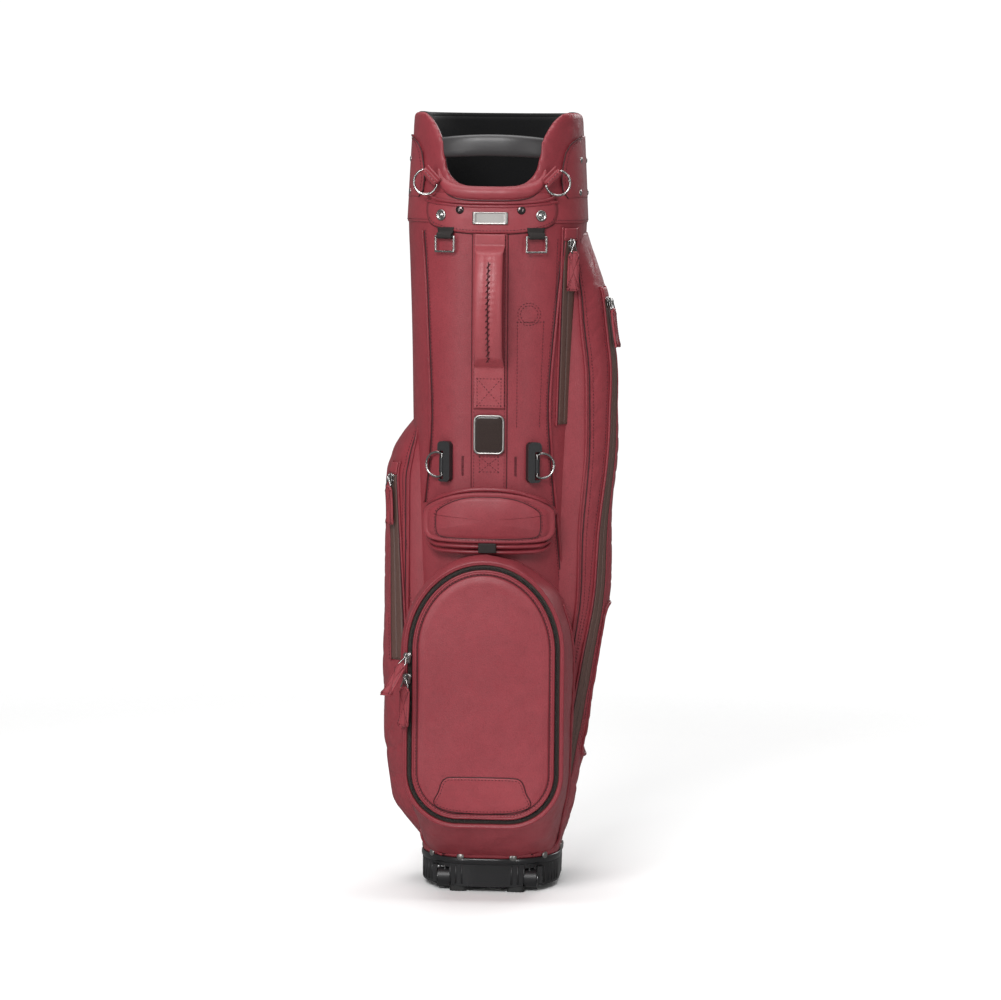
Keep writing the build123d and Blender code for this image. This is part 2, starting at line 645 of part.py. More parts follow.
handle_start_y, handle_end_y = surface(0, handle_high, 2.2), surface(0, handle_low, 2.2)
bow_low = handle_low + handle_patch
mid_z = (bow_low + handle_high - 14) / 2
outer_y = (handle_start_y + handle_end_y) / 2 - handle_rise
grip = make_face([
    Line((handle_start_y, handle_high), (handle_start_y, handle_high - 14)),
    ThreePointArc((handle_start_y, handle_high - 14), (outer_y + 1, mid_z),
                  (surface(0, bow_low, 2.2), bow_low)),
    Line((surface(0, bow_low, 2.2), bow_low), (handle_end_y, handle_low)),
    Line((handle_end_y, handle_low), (handle_end_y - 3.0, handle_low)),
    Line((handle_end_y - 3.0, handle_low), (surface(0, bow_low, 2.2) - 3.0, bow_low - 3)),
    ThreePointArc((surface(0, bow_low, 2.2) - 3.0, bow_low - 3), (outer_y - handle_thickness + 1, mid_z),
                  (handle_start_y - 3.0, handle_high - 8)),
    Line((handle_start_y - 3.0, handle_high - 8), (handle_start_y - 3.0, handle_high)),
    Line((handle_start_y - 3.0, handle_high), (handle_start_y, handle_high)),
])
handle = extrude(Plane.YZ * grip, amount=handle_width / 2, both=True)
keep("carry_handle", handle)

badge_seat = Plane(origin=(0, surface(0, badge_low, 2.2) - 0.6, (badge_low + badge_high) / 2),
                   x_dir=(1, 0, 0), z_dir=(0, -1, 0))
frame_face = RectangleRounded(badge_width, badge_height, 6)
window_face = RectangleRounded(badge_width - 2 * badge_frame, badge_height - 2 * badge_frame, 6 - badge_frame)
keep("badge_frame", extrude(badge_seat * (frame_face - window_face), amount=badge_depth))
plate_face = RectangleRounded(badge_width - 2 * badge_frame - 0.2, badge_height - 2 * badge_frame - 0.2,
                              6 - badge_frame - 0.1)
keep("badge_plate", extrude(badge_seat * plate_face, amount=badge_depth - 0.6))


# ---------------------------------------------------------------- ball pocket
def arch(half_width, low, high, rise, corner):
    """A front-view outline with a round top and rounded lower corners."""
    spring = high - rise
    return make_face([
        Line((-half_width, low + corner), (-half_width, spring)),
        EllipticalCenterArc((0, spring), half_width, rise, start_angle=0, arc_size=180),
        Line((half_width, spring), (half_width, low + corner)),
        CenterArc((half_width - corner, low + corner), corner, -90, 90),
        Line((half_width - corner, low), (-half_width + corner, low)),
        CenterArc((-half_width + corner, low + corner), corner, 180, 90),
    ])


def pocket_block(half_width, low, high, rise, corner, front, side_spread):
    """The outline carried back to the body, spreading a little on the way."""
    near = Plane.XZ.offset(front) * arch(half_width, low, high, rise, corner)
    far = Plane.XZ.offset(60) * arch(half_width + side_spread, low - side_spread / 2, high, rise, corner)
    return loft([near, far], ruled=True)


ball_out = ball_half + ball_gap
chin_low = tube_bottom_z + 6.0
ball_box = pocket_block(ball_out, ball_low - ball_gap, ball_high + ball_gap, ball_arch + ball_gap,
                        ball_corner + ball_gap, ball_front, ball_side_spread)
chin = extrude(Plane.YZ * Polygon((-60, chin_low), (-98, chin_low), (-ball_front + 22, ball_low - ball_gap - 14),
                                  (-ball_front, ball_low + 12), (-ball_front, ball_low + 60), (-60, ball_low + 60),
                                  align=None), amount=FAR, both=True)
chin_sides = front_cut(Polygon((-tube_size(chin_low)[0] / 2 + 4, chin_low), (tube_size(chin_low)[0] / 2 - 4, chin_low),
                               (ball_out - 4, ball_low + 40), (ball_out - 6, ball_low + 60),
                               (-ball_out + 6, ball_low + 60), (-ball_out + 4, ball_low + 40), align=None))
ball_body = ball_box + (chin & chin_sides)
hollow = pocket_block(ball_out - ball_wall, ball_low - ball_gap + ball_wall, ball_high + ball_gap - ball_wall,
                      ball_arch + ball_gap - ball_wall, ball_corner + ball_gap - ball_wall,
                      ball_front + 2, ball_side_spread)
chin_hollow = extrude(Plane.YZ * Polygon((-60, chin_low + 3), (-94, chin_low + 3), (-ball_front + 25, ball_low - ball_gap - 9),
                                         (-ball_front + 4, ball_low - 6), (-60, ball_low - 6),
                                         align=None), amount=tube_size(chin_low)[0] / 2 - 14, both=True)
ball_body -= hollow
ball_body -= chin_hollow
ball_body -= tube(20, tube_top_z, skin_gap)

door_back = ball_front - door_thickness + 1.5
door_face = arch(ball_half, ball_low, ball_high, ball_arch, ball_corner)
door = extrude(Plane.XZ.offset(door_back) * door_face, amount=door_thickness)
keep("ball_door", door)
door_hinge_y, door_hinge_z = -door_back - door_thickness, ball_low

# ---------------------------------------------------------------- flap pocket
flap_mid = (flap_low + flap_high) / 2
flap_face = Pos(0, flap_mid) * RectangleRounded(2 * flap_half, flap_pocket_height, 26)
pocket = (tube(flap_low, flap_high, flap_depth) & front_cut(flap_face)) - tube(flap_low - 1, flap_high + 1, skin_gap)
cavity_face = Pos(0, flap_mid) * RectangleRounded(2 * flap_half - 2 * ball_wall, flap_pocket_height - 2 * ball_wall, 24)
pocket -= tube(flap_low, flap_high, flap_depth - ball_wall) & front_cut(cavity_face)
mouth_face = Pos(0, flap_high - 14 - flap_mouth / 2) * RectangleRounded(2 * flap_half - 40, flap_mouth, 4)
pocket -= front_cut(mouth_face)
pocket = pocket.solids().sort_by(SortBy.VOLUME)[-1]
keep("flap_pocket", pocket)

cover_low, cover_high = flap_low + 3.0, flap_high - 6.0
cover_face = Pos(0, (cover_low + cover_high) / 2) * RectangleRounded(2 * flap_half - 12, cover_high - cover_low, 22)
cover_in, cover_out = flap_depth + 0.8, flap_depth + 0.8 + leather
cover = skin(flap_low, flap_high, cover_in, cover_out) & front_cut(cover_face)
keep("pocket_flap", cover)
flap_hinge_y, flap_hinge_z = surface(0, cover_high, cover_out + 0.5), cover_high
tab_y = surface(0, cover_low, cover_out + 0.4)
tab = block(-flap_tab_width / 2, flap_tab_width / 2, tab_y - 2.2, tab_y, cover_low - 3, cover_low - 3 + flap_tab_height)
keep("flap_tab", tab)


# ---------------------------------------------------------------- side pockets
def bulge(side, low, high, reach, profile, grow, front=-66.0, rear=58.0):
    """A side pocket's outside: at each level an arc from the front corner to the rear one."""
    faces = []
    for share, fullness in profile:
        z = blend(low, high, share)
        width, depth, corner = tube_size(z)
        out = width / 2 + (reach - width / 2) * fullness + grow
        f = front - grow * 0.6
        r = rear + grow * 0.6
        over = sqrt(corner ** 2 - (abs(front) - depth / 2 + corner) ** 2)
        edge_f = width / 2 - corner + over - 3.0 + grow * 0.5
        over = sqrt(corner ** 2 - (abs(rear) - depth / 2 + corner) ** 2)
        edge_r = width / 2 - corner + over - 3.0 + grow * 0.5
        arc = ThreePointArc((side * edge_f, f), (side * out, (front + rear) / 2), (side * edge_r, r))
        inner_x = side * (width / 2 - 30)
        face = make_face([arc, Line((side * edge_r, r), (inner_x, r)), Line((inner_x, r), (inner_x, f)),
                          Line((inner_x, f), (side * edge_f, f))])
        faces.append(Plane.XY.offset(z) * face)
    return loft(faces, ruled=True)


def side_pocket(side, low, high, reach, profile):
    outside = bulge(side, low, high, reach, profile, 0.0)
    inside = bulge(side, low + pocket_wall, high - pocket_wall, reach, profile, -pocket_wall)
    shell = outside - inside - tube(low - 5, high + 5, skin_gap)
    return shell.solids().sort_by(SortBy.VOLUME)[-1]


right_profile = [(0.0, 0.02), (0.05, 0.2), (0.2, 0.5), (0.33, 0.7), (0.41, 0.85), (0.53, 0.85), (0.65, 1.0),
                 (0.78, 0.98), (0.905, 0.65), (1.0, 0.1)]
left_profile = [(0.0, 0.02), (0.04, 0.3), (0.09, 0.68), (0.23, 0.87), (0.42, 0.93), (0.875, 0.84), (0.93, 0.45),
                (0.97, 0.15), (1.0, 0.02)]
right_high = tube_top_z - right_drop
right = side_pocket(1, right_low, right_high, right_bulge, right_profile)
slip_face = Pos((slip_front + slip_rear) / 2, (slip_low + slip_high) / 2) * RectangleRounded(
    slip_rear - slip_front, slip_high - slip_low, 18)
right -= Pos(tube_size(slip_low)[0] / 2, 0, 0) * extrude(Plane.YZ * slip_face, amount=FAR)
keep("right_pocket", right)
keep("left_pocket", side_pocket(-1, left_low, left_high, left_bulge, left_profile))

# The ball pocket's side walls stop against the side pockets.
ball_body -= bulge(1, right_low, right_high, right_bulge, right_profile, 0.5)
ball_body -= bulge(-1, left_low, left_high, left_bulge, left_profile, 0.5)
ball_body = ball_body.solids().sort_by(SortBy.VOLUME)[-1]
keep("ball_pocket", ball_body)


def bulge_point(side, low, high, reach, profile, z, y, grow):
    """The outside of a side pocket at height z and depth y, and its outward direction in plan."""
    share = (z - low) / (high - low)
    for (s0, f0), (s1, f1) in zip(profile, profile[1:]):
        if s0 <= share <= s1:
            break
    ends = []
    for s, fullness in ((s0, f0), (s1, f1)):
        width, depth, corner = tube_size(blend(low, high, s))
        out = width / 2 + (reach - width / 2) * fullness
        front, rear = -66.0, 58.0
        edge_f = width / 2 - corner + sqrt(corner ** 2 - (abs(front) - depth / 2 + corner) ** 2) - 3.0
        edge_r = width / 2 - corner + sqrt(corner ** 2 - (abs(rear) - depth / 2 + corner) ** 2) - 3.0
        middle = (front + rear) / 2
        d = 2 * (edge_f * (middle - rear) + out * (rear - front) + edge_r * (front - middle))
        squares = [edge_f ** 2 + front ** 2, out ** 2 + middle ** 2, edge_r ** 2 + rear ** 2]
        cx = (squares[0] * (middle - rear) + squares[1] * (rear - front) + squares[2] * (front - middle)) / d
        cy = (squares[0] * (edge_r - out) + squares[1] * (edge_f - edge_r) + squares[2] * (out - edge_f)) / d
        radius = hypot(out - cx, middle - cy)
        ends.append((cx, cy, radius))
    t = (share - s0) / (s1 - s0)
    xs = [cx + sqrt(radius ** 2 - (y - cy) ** 2) for cx, cy, radius in ends]
    x = blend(xs[0], xs[1], t)
    cx, cy = blend(ends[0][0], ends[1][0], t), blend(ends[0][1], ends[1][1], t)
    normal = Vector(x - cx, y - cy, 0).normalized()
    return Vector(side * (x + normal.X * grow), y + normal.Y * grow, z), Vector(side * normal.X, normal.Y, 0)


# ---------------------------------------------------------------- zips
def slider_parts(plane, tilt=0.0):
    """A slider on a track that runs along the plane's Y, and the pull that hangs on its pin."""
    lug = 1.2
    pin_z = slider_height + 2.4
    body = Pos(0, 0, slider_height / 2) * Box(slider_width, slider_length, slider_height)
    for sx in (-1, 1):
        body += Pos(sx * (slider_width / 2 - lug / 2), 0, pin_z / 2 + 0.6) * Box(lug, 4.4, pin_z + 1.2)
    body += Pos(0, 0, pin_z) * (Rot(0, 90, 0) * Cylinder(pull_pin, slider_width))
    half = slider_width / 2 - lug - 0.3
    pull = Rot(0, 90, 0) * Cylinder(pull_barrel, 2 * half)
    pull += Pos(0, -pull_link / 2 - 0.5, 0) * Box(2 * half, pull_link + 1, 2.0)
    pull += Pos(0, -pull_link - pull_length / 2, 0) * Box(pull_width, pull_length, pull_thickness)
    pull -= Rot(0, 90, 0) * Cylinder(pull_pin + 0.15, slider_width + 2)
    pull = Pos(0, 0, pin_z) * (Rot(tilt, 0, 0) * pull)
    return plane * body, plane * pull


sliders = {}


def add_zip(name, start, end, normal_at, tilt=0.0):
    """A slider near the start of a straight track, on a plane whose Y points back up the track."""
    along = (start - end).normalized()
    x_dir = along.cross(normal_at).normalized()
    plane = Plane(origin=start, x_dir=x_dir, z_dir=x_dir.cross(along))
    body, pull = slider_parts(plane, tilt)
    keep(f"{name}_slider", body)
    keep(f"{name}_pull", pull)
    sliders[name] = (plane, (end - start).normalized(), (end - start).length)


tape_solids = []
right_zip_high, right_zip_low = right_high - 72.0, right_low + 44.0
left_zip_high, left_zip_low = left_high - 62.0, left_low + 214.0
upper_zip_high, upper_zip_low = tube_top_z - 22.0, badge_low + 32.0


def tape_on_bulge(side, low, high, reach, profile, zip_low, zip_high, y_low, y_high):
    """A strip of tape laid on a side pocket along a slanted line in the side view."""
    half = tape_width / 2
    outline = Polygon((y_low - half, zip_low), (y_low + half, zip_low), (y_high + half, zip_high),
                      (y_high - half, zip_high), align=None)
    strip = extrude(Plane.YZ * outline, amount=side * FAR)
    layer = bulge(side, low, high, reach, profile, skin_gap + tape_thickness)
    layer -= bulge(side, low - 1, high + 1, reach, profile, skin_gap)
    piece = layer & strip
    return piece.solids().sort_by(SortBy.VOLUME)[-1]


right_zip_y = (-50.0, -22.0)     # at its lower and upper end
left_zip_y = (-52.0, -42.0)
tape_solids.append(tape_on_bulge(1, right_low, right_high, right_bulge, right_profile,
                                 right_zip_low, right_zip_high, *right_zip_y))
tape_solids.append(tape_on_bulge(-1, left_low, left_high, left_bulge, left_profile,
                                 left_zip_low, left_zip_high, *left_zip_y))


def upper_zip_x(z):
    """The upper zip follows the body's front right corner."""
    width, _, corner = tube_size(z)
    return width / 2 - corner + corner * sin(radians(57))


half_tape = tape_width / 2
strip_face = Polygon((upper_zip_x(upper_zip_low) - half_tape, upper_zip_low),
                     (upper_zip_x(upper_zip_low) + half_tape, upper_zip_low),
                     (upper_zip_x(upper_zip_high) + half_tape, upper_zip_high),
                     (upper_zip_x(upper_zip_high) - half_tape, upper_zip_high), align=None)
upper_tape = skin(upper_zip_low, upper_zip_high, skin_gap, skin_gap + tape_thickness) & front_cut(strip_face)
upper_tape -= bulge(1, right_low, right_high, right_bulge, right_profile, skin_gap + 0.2)
tape_solids.append(upper_tape.solids().sort_by(SortBy.VOLUME)[-1])

ball_tape = extrude(Plane.XZ.offset(ball_front - 3.0) * (
    arch(ball_out - ball_wall - 0.1, ball_low - ball_gap + ball_wall + 0.1, ball_high + ball_gap - ball_wall - 0.1,
         ball_arch + ball_gap - ball_wall - 0.1, ball_corner + ball_gap - ball_wall - 0.1)
    - arch(ball_half + door_play, ball_low - door_play, ball_high + door_play, ball_arch + door_play,
           ball_corner + door_play)), amount=tape_thickness)
tape_solids.append(ball_tape)
keep("zip_tapes", tape_solids)

on_tape = skin_gap + tape_thickness + slider_play


def share_line(y_pair, low, high, z):
    return blend(y_pair[0], y_pair[1], (z - low) / (high - low))


def bulge_track(side, low, high, reach, profile, y_pair, zip_low, zip_high, z):
    y = share_line(y_pair, zip_low, zip_high, z)
    return bulge_point(side, low, high, reach, profile, z, y, on_tape + 0.6)


z0 = right_zip_high - zip_end
start, normal = bulge_track(1, right_low, right_high, right_bulge, right_profile, right_zip_y,
                            right_zip_low, right_zip_high, z0)
end, _ = bulge_track(1, right_low, right_high, right_bulge, right_profile, right_zip_y,
                     right_zip_low, right_zip_high, z0 - right_slide)
add_zip("right_zip", start, end, normal)
z0 = left_zip_high - zip_end
start, normal = bulge_track(-1, left_low, left_high, left_bulge, left_profile, left_zip_y,
                            left_zip_low, left_zip_high, z0)
end, _ = bulge_track(-1, left_low, left_high, left_bulge, left_profile, left_zip_y,
                     left_zip_low, left_zip_high, z0 - left_slide)
add_zip("left_zip", start, end, normal)


def upper_track(z):
    x = upper_zip_x(z)
    normal = outward(x, z)
    return Vector(x, surface(x, z), z) + normal * on_tape, normal


start, normal = upper_track(upper_zip_high - zip_end)
end, _ = upper_track(upper_zip_low + zip_end)
add_zip("upper_zip", start, end, normal)

ball_track_x = -(ball_half + ball_gap / 2 + 0.5)
ball_face = -ball_front - 2.5
ball_pair = (("ball_zip_upper", ball_upper_z, -45.0), ("ball_zip_lower", ball_upper_z - ball_pair_gap, -4.0))
for name, z, tilt in ball_pair:
    start = Vector(ball_track_x, ball_face, z)
    add_zip(name, start, start - Vector(0, 0, ball_slide), Vector(-0.5, -0.866, 0), tilt)

# ---------------------------------------------------------------- back pad
pad_face = Pos(0, pad_low + pad_tall / 2) * RectangleRounded(2 * pad_half, pad_tall, 12)
keep("back_pad", skin(pad_low, pad_low + pad_tall, skin_gap, pad_thickness) & back_cut(pad_face))

# ---------------------------------------------------------------- write and report
os.makedirs("parts", exist_ok=True)
for name, shape in parts.items():
    export_step(shape, f"parts/{name}.step")


def show(name, origin, axis, travel=0.0):
    print("joint", name, *(f"{v:.5f}" for v in (*Vector(origin), *Vector(axis), travel)))


def show_pair(name, origin, axis, travel=0.0):
    """A joint on the right and its mirror image on the left, both opening outwards."""
    show(f"{name}_right", origin, axis, travel)
    show(f"{name}_left", (-origin.X, origin.Y, origin.Z), (axis.X, -axis.Y, -axis.Z), travel)


print("nodes", len(parts))
show("lever", (0, hinge_y, knuckle_z), (1, 0, 0), lever_reach)
show("wires", (0, 0, 0), slide_axis, wire_travel)
show_pair("leg", pivot, hinge_axis)
show_pair("collar_ring", collar_ring_plane.origin, -collar_ring_plane.x_dir)
show_pair("tow_ring", tow_plane.origin, -tow_plane.x_dir)
show_pair("strap_ring", ring_plane.origin, -ring_plane.x_dir)
show("flap", (0, flap_hinge_y, flap_hinge_z), (-1, 0, 0))
show("door", (0, door_hinge_y, door_hinge_z), (1, 0, 0))
for name, (plane, along, travel) in sliders.items():
    show(f"{name}_slide", plane.origin, along, travel)
    show(f"{name}_pull", plane.origin + plane.z_dir * (slider_height + 2.4), -plane.x_dir)
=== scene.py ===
"""Leather golf stand bag: the looks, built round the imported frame. Metres, +Z up, -Y is the spine side."""
import json
from math import atan2, ceil, cos, hypot, pi, radians, sin, sqrt
import bmesh
import bpy
import numpy as np
from mathutils import Matrix, Vector, noise
from mathutils.bvhtree import BVHTree


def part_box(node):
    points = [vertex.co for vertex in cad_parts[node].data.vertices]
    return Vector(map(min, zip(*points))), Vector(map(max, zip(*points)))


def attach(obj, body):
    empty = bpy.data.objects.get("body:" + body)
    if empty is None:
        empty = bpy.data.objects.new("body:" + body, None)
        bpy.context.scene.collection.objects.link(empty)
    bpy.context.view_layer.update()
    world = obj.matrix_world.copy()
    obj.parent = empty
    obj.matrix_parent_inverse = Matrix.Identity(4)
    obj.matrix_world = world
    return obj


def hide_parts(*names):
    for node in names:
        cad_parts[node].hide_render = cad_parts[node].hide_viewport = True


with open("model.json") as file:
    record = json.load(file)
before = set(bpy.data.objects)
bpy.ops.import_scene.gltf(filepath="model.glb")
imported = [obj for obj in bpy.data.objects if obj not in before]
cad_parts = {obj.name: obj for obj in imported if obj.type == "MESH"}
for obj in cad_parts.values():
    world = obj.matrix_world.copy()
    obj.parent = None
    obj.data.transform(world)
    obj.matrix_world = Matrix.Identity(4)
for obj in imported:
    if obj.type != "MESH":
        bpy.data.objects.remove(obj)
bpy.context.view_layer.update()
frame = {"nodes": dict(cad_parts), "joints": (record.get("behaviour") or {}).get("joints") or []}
MM = 0.001

# ------------------------------------------------------------------ room
# A pale floor under a white surround, a large soft light in front and one above, two upright
# strips low in front, a weak light behind, and a long-lens camera a little to the spine side's right.
floor_colour = (0.95, 0.95, 0.948)
floor_reach, floor_drop = 2.2, 0.0005
floor_clear, floor_gone = 1.1, 2.0      # the floor fades into the white surround between these radii
surround_light, surround_seen = 0.2, 0.85
camera_distance, camera_height = 4.5, 0.445
camera_turn, camera_rise, camera_roll = 4.5, 5.0, 0.5


def plain_material(name, colour, roughness):
    """A principled material with constant sockets; returned with its tree for more nodes."""
    material = bpy.data.materials.new(name)
    material.use_nodes = True
    shader = material.node_tree.nodes["Principled BSDF"]
    shader.inputs["Base Color"].default_value = (*colour, 1)
    shader.inputs["Roughness"].default_value = roughness
    return material, material.node_tree, shader


def mesh_object(name, points, faces, material=None, smooth=True):
    mesh = bpy.data.meshes.new(name)
    mesh.from_pydata([tuple(p) for p in points], [], faces)
    mesh.polygons.foreach_set("use_smooth", [smooth] * len(mesh.polygons))
    thing = bpy.data.objects.new(name, mesh)
    bpy.context.scene.collection.objects.link(thing)
    if material:
        mesh.materials.append(material)
    return thing


def grid_object(name, rows, material=None, ring=False):
    """A skin through rows of points, each row as long as the next; ring joins each row's ends."""
    rows = np.asarray(rows, float)
    m, n = rows.shape[:2]
    last = n if ring else n - 1
    faces = [(i * n + j, i * n + (j + 1) % n, (i + 1) * n + (j + 1) % n, (i + 1) * n + j)
             for i in range(m - 1) for j in range(last)]
    return mesh_object(name, rows.reshape(-1, 3), faces, material)


floor_steps = (-floor_reach, 0, floor_reach)
floor = grid_object("floor", [[(x, y, -floor_drop) for x in floor_steps] for y in floor_steps])
floor_material, floor_tree, floor_shader = plain_material("studio_floor", floor_colour, 0.9)
floor_shader.inputs["Specular IOR Level"].default_value = 0.1
from_middle = floor_tree.nodes.new("ShaderNodeVectorMath")
from_middle.operation = "LENGTH"
fade = floor_tree.nodes.new("ShaderNodeMapRange")
fade.interpolation_type = "SMOOTHSTEP"
fade.inputs["From Min"].default_value, fade.inputs["From Max"].default_value = floor_clear, floor_gone
fade_mix = floor_tree.nodes.new("ShaderNodeMixShader")
clear = floor_tree.nodes.new("ShaderNodeBsdfTransparent")
floor_where = floor_tree.nodes.new("ShaderNodeTexCoord").outputs["Object"]
floor_surface = floor_tree.nodes["Material Output"].inputs["Surface"]
for source, target in ((floor_where, from_middle.inputs[0]),
                       (from_middle.outputs["Value"], fade.inputs["Value"]),
                       (fade.outputs[0], fade_mix.inputs[0]),
                       (floor_shader.outputs[0], fade_mix.inputs[1]),
                       (clear.outputs[0], fade_mix.inputs[2]),
                       (fade_mix.outputs[0], floor_surface)):
    floor_tree.links.new(source, target)
floor.data.materials.append(floor_material)
floor.visible_glossy = False            # dark cards round a studio set do the same for the leather


def soft_light(name, place, target, size, watts):
    lamp = bpy.data.lights.new(name, "AREA")
    lamp.shape, lamp.size, lamp.size_y = "RECTANGLE", size[0], size[1]
    lamp.energy = watts
    thing = bpy.data.objects.new(name, lamp)
    thing.location = place
    thing.rotation_euler = (Vector(target) - Vector(place)).to_track_quat("-Z", "Y").to_euler()
    bpy.context.scene.collection.objects.link(thing)


soft_light("key_light", (-0.6, -3.0, 2.2), (0, 0, 0.45), (1.4, 1.2), 91)
soft_light("left_strip_light", (-1.7, -2.5, 0.75), (0, 0, 0.45), (0.3, 1.5), 16)
soft_light("right_strip_light", (1.9, -2.5, 0.75), (0, 0, 0.45), (0.3, 1.5), 12)
soft_light("top_light", (0, 0.3, 2.9), (0, 0.4, 0.0), (2.6, 2.4), 70)
soft_light("back_light", (1.6, 3.4, 1.9), (0, 0, 0.45), (1.4, 1.2), 26)
world = bpy.data.worlds.new("studio")
world.use_nodes = True
world.node_tree.nodes["Background"].inputs[0].default_value = (1, 1, 1, 1)
ray = world.node_tree.nodes.new("ShaderNodeLightPath")
surround = world.node_tree.nodes.new("ShaderNodeMath")
surround.operation = "MULTIPLY_ADD"
surround.inputs[1].default_value = surround_seen
surround.inputs[2].default_value = surround_light
world.node_tree.links.new(ray.outputs["Is Camera Ray"], surround.inputs[0])
world.node_tree.links.new(surround.outputs[0], world.node_tree.nodes["Background"].inputs[1])
bpy.context.scene.world = world

camera_data = bpy.data.cameras.new("camera")
camera_data.lens, camera_data.sensor_width = 139.3, 36.0
camera_data.shift_x, camera_data.shift_y = 0.0045, -0.001
camera = bpy.data.objects.new("camera", camera_data)
turn, rise = radians(camera_turn), radians(camera_rise)
back_off = Vector((sin(turn) * cos(rise), -cos(turn) * cos(rise), sin(rise)))
camera.location = Vector((0, 0, camera_height)) + back_off * camera_distance
camera.rotation_euler = (-back_off).to_track_quat("-Z", "Y").to_euler()
camera.rotation_euler.rotate_axis("Z", radians(camera_roll))
bpy.context.scene.collection.objects.link(camera)
bpy.context.scene.camera = camera
bpy.context.scene.view_settings.view_transform = "Standard"

# ------------------------------------------------------------------ leather
# The cover is soft full-grain leather, dyed maroon all through and lightly waxed. It has fine
# pebbles, open pores, a slow change of tone from hide to hide and a brighter wax on the high spots.
maroon, maroon_deep, maroon_worn = (0.235, 0.032, 0.042), (0.14, 0.014, 0.021), (0.34, 0.067, 0.08)
pebble_size, crease_size = 0.00125, 0.016


def node(tree, kind, **values):
    """Adds a node; keyword names are its settings, or its input sockets with spaces as _."""
    made = tree.nodes.new(kind)
    for key, value in values.items():
        if hasattr(made, key):
            setattr(made, key, value)
        else:
            made.inputs[key.replace("_", " ")].default_value = value
    return made


def ramp(tree, source, stops):
    """A colour ramp over a value, from (place, colour) stops."""
    made = tree.nodes.new("ShaderNodeValToRGB")
    elements = made.color_ramp.elements
    while len(elements) < len(stops):
        elements.new(0.5)
    for element, (place, colour) in zip(elements, stops):
        element.position = place
        element.color = (*colour, 1) if len(colour) == 3 else colour
    tree.links.new(source, made.inputs[0])
    return made.outputs[0]


def mix_colour(tree, share, low, high, blend="MIX"):
    made = tree.nodes.new("ShaderNodeMix")
    made.data_type, made.blend_type = "RGBA", blend
    for socket, value in zip((made.inputs[0], made.inputs[6], made.inputs[7]), (share, low, high)):
        if isinstance(value, bpy.types.NodeSocket):
            tree.links.new(value, socket)
        else:
            socket.default_value = value if isinstance(value, (int, float)) else (*value, 1)
    return made.outputs[2]


def sum_heights(tree, *pairs):
    """A weighted sum of height values for a bump."""
    total = None
    for source, weight in pairs:
        step = node(tree, "ShaderNodeMath", operation="MULTIPLY_ADD")
        tree.links.new(source, step.inputs[0])
        step.inputs[1].default_value = weight
        step.inputs[2].default_value = 0
        if total is not None:
            tree.links.new(total, step.inputs[2])
        total = step.outputs[0]
    return total


def add_bump(tree, shader, height, distance, strength=1.0):
    bump = node(tree, "ShaderNodeBump", Strength=strength, Distance=distance)
    tree.links.new(height, bump.inputs["Height"])
    tree.links.new(bump.outputs["Normal"], shader.inputs["Normal"])


def texture(tree, kind, **values):
    """A texture node read in the piece's own Object coordinates."""
    made = node(tree, kind, **values)
    tree.links.new(node(tree, "ShaderNodeTexCoord").outputs["Object"], made.inputs["Vector"])
    return made


def leather(name, tone, deep, worn, roughness=0.46, pebble=pebble_size, crease=crease_size, relief=0.00022):
    """Pebbled, creased leather: deep and worn are the tones that its slow mottle drifts to."""
    material, tree, shader = plain_material(name, tone, roughness)
    hide = texture(tree, "ShaderNodeTexNoise", Scale=5.0, Detail=3.0, Roughness=0.55)
    mottle = texture(tree, "ShaderNodeTexNoise", Scale=70.0, Detail=4.0, Roughness=0.6)
    pebbles = texture(tree, "ShaderNodeTexVoronoi", Scale=1 / pebble, feature="SMOOTH_F1", Smoothness=0.55)
    cracks = texture(tree, "ShaderNodeTexVoronoi", Scale=0.6 / pebble, feature="DISTANCE_TO_EDGE")
    creases = texture(tree, "ShaderNodeTexNoise", Scale=1 / crease, Detail=5.0, Roughness=0.62, Distortion=0.6)
    pores = texture(tree, "ShaderNodeTexNoise", Scale=1.6 / pebble, Detail=1.0)

    slow = ramp(tree, hide.outputs["Fac"], [(0.32, deep), (0.52, tone), (0.72, worn)])
    base = mix_colour(tree, 0.24, tone, slow)
    fine = ramp(tree, mottle.outputs["Fac"], [(0.35, (0.42, 0.42, 0.42)), (0.65, (0.58, 0.58, 0.58))])
    base = mix_colour(tree, 0.28, base, fine, "OVERLAY")
    dark_cracks = ramp(tree, cracks.outputs["Distance"], [(0.0, (0.62, 0.62, 0.62)), (0.09, (1, 1, 1))])
    base = mix_colour(tree, 0.55, base, dark_cracks, "MULTIPLY")
    tree.links.new(base, shader.inputs["Base Color"])

    gloss = ramp(tree, creases.outputs["Fac"],
                 [(0.3, (roughness - 0.07,) * 3), (0.7, (roughness + 0.09,) * 3)])
    tree.links.new(gloss, shader.inputs["Roughness"])
    crack_height = ramp(tree, cracks.outputs["Distance"], [(0.0, (0, 0, 0)), (0.12, (1, 1, 1))])
    height = sum_heights(tree, (pebbles.outputs["Distance"], -0.5), (crack_height, 0.22),
                         (creases.outputs["Fac"], 1.5), (pores.outputs["Fac"], 0.18))
    add_bump(tree, shader, height, relief)
    shader.inputs["Specular IOR Level"].default_value = 0.34
    shader.inputs["Coat Weight"].default_value = 0.06
    shader.inputs["Coat Roughness"].default_value = 0.3
    return material


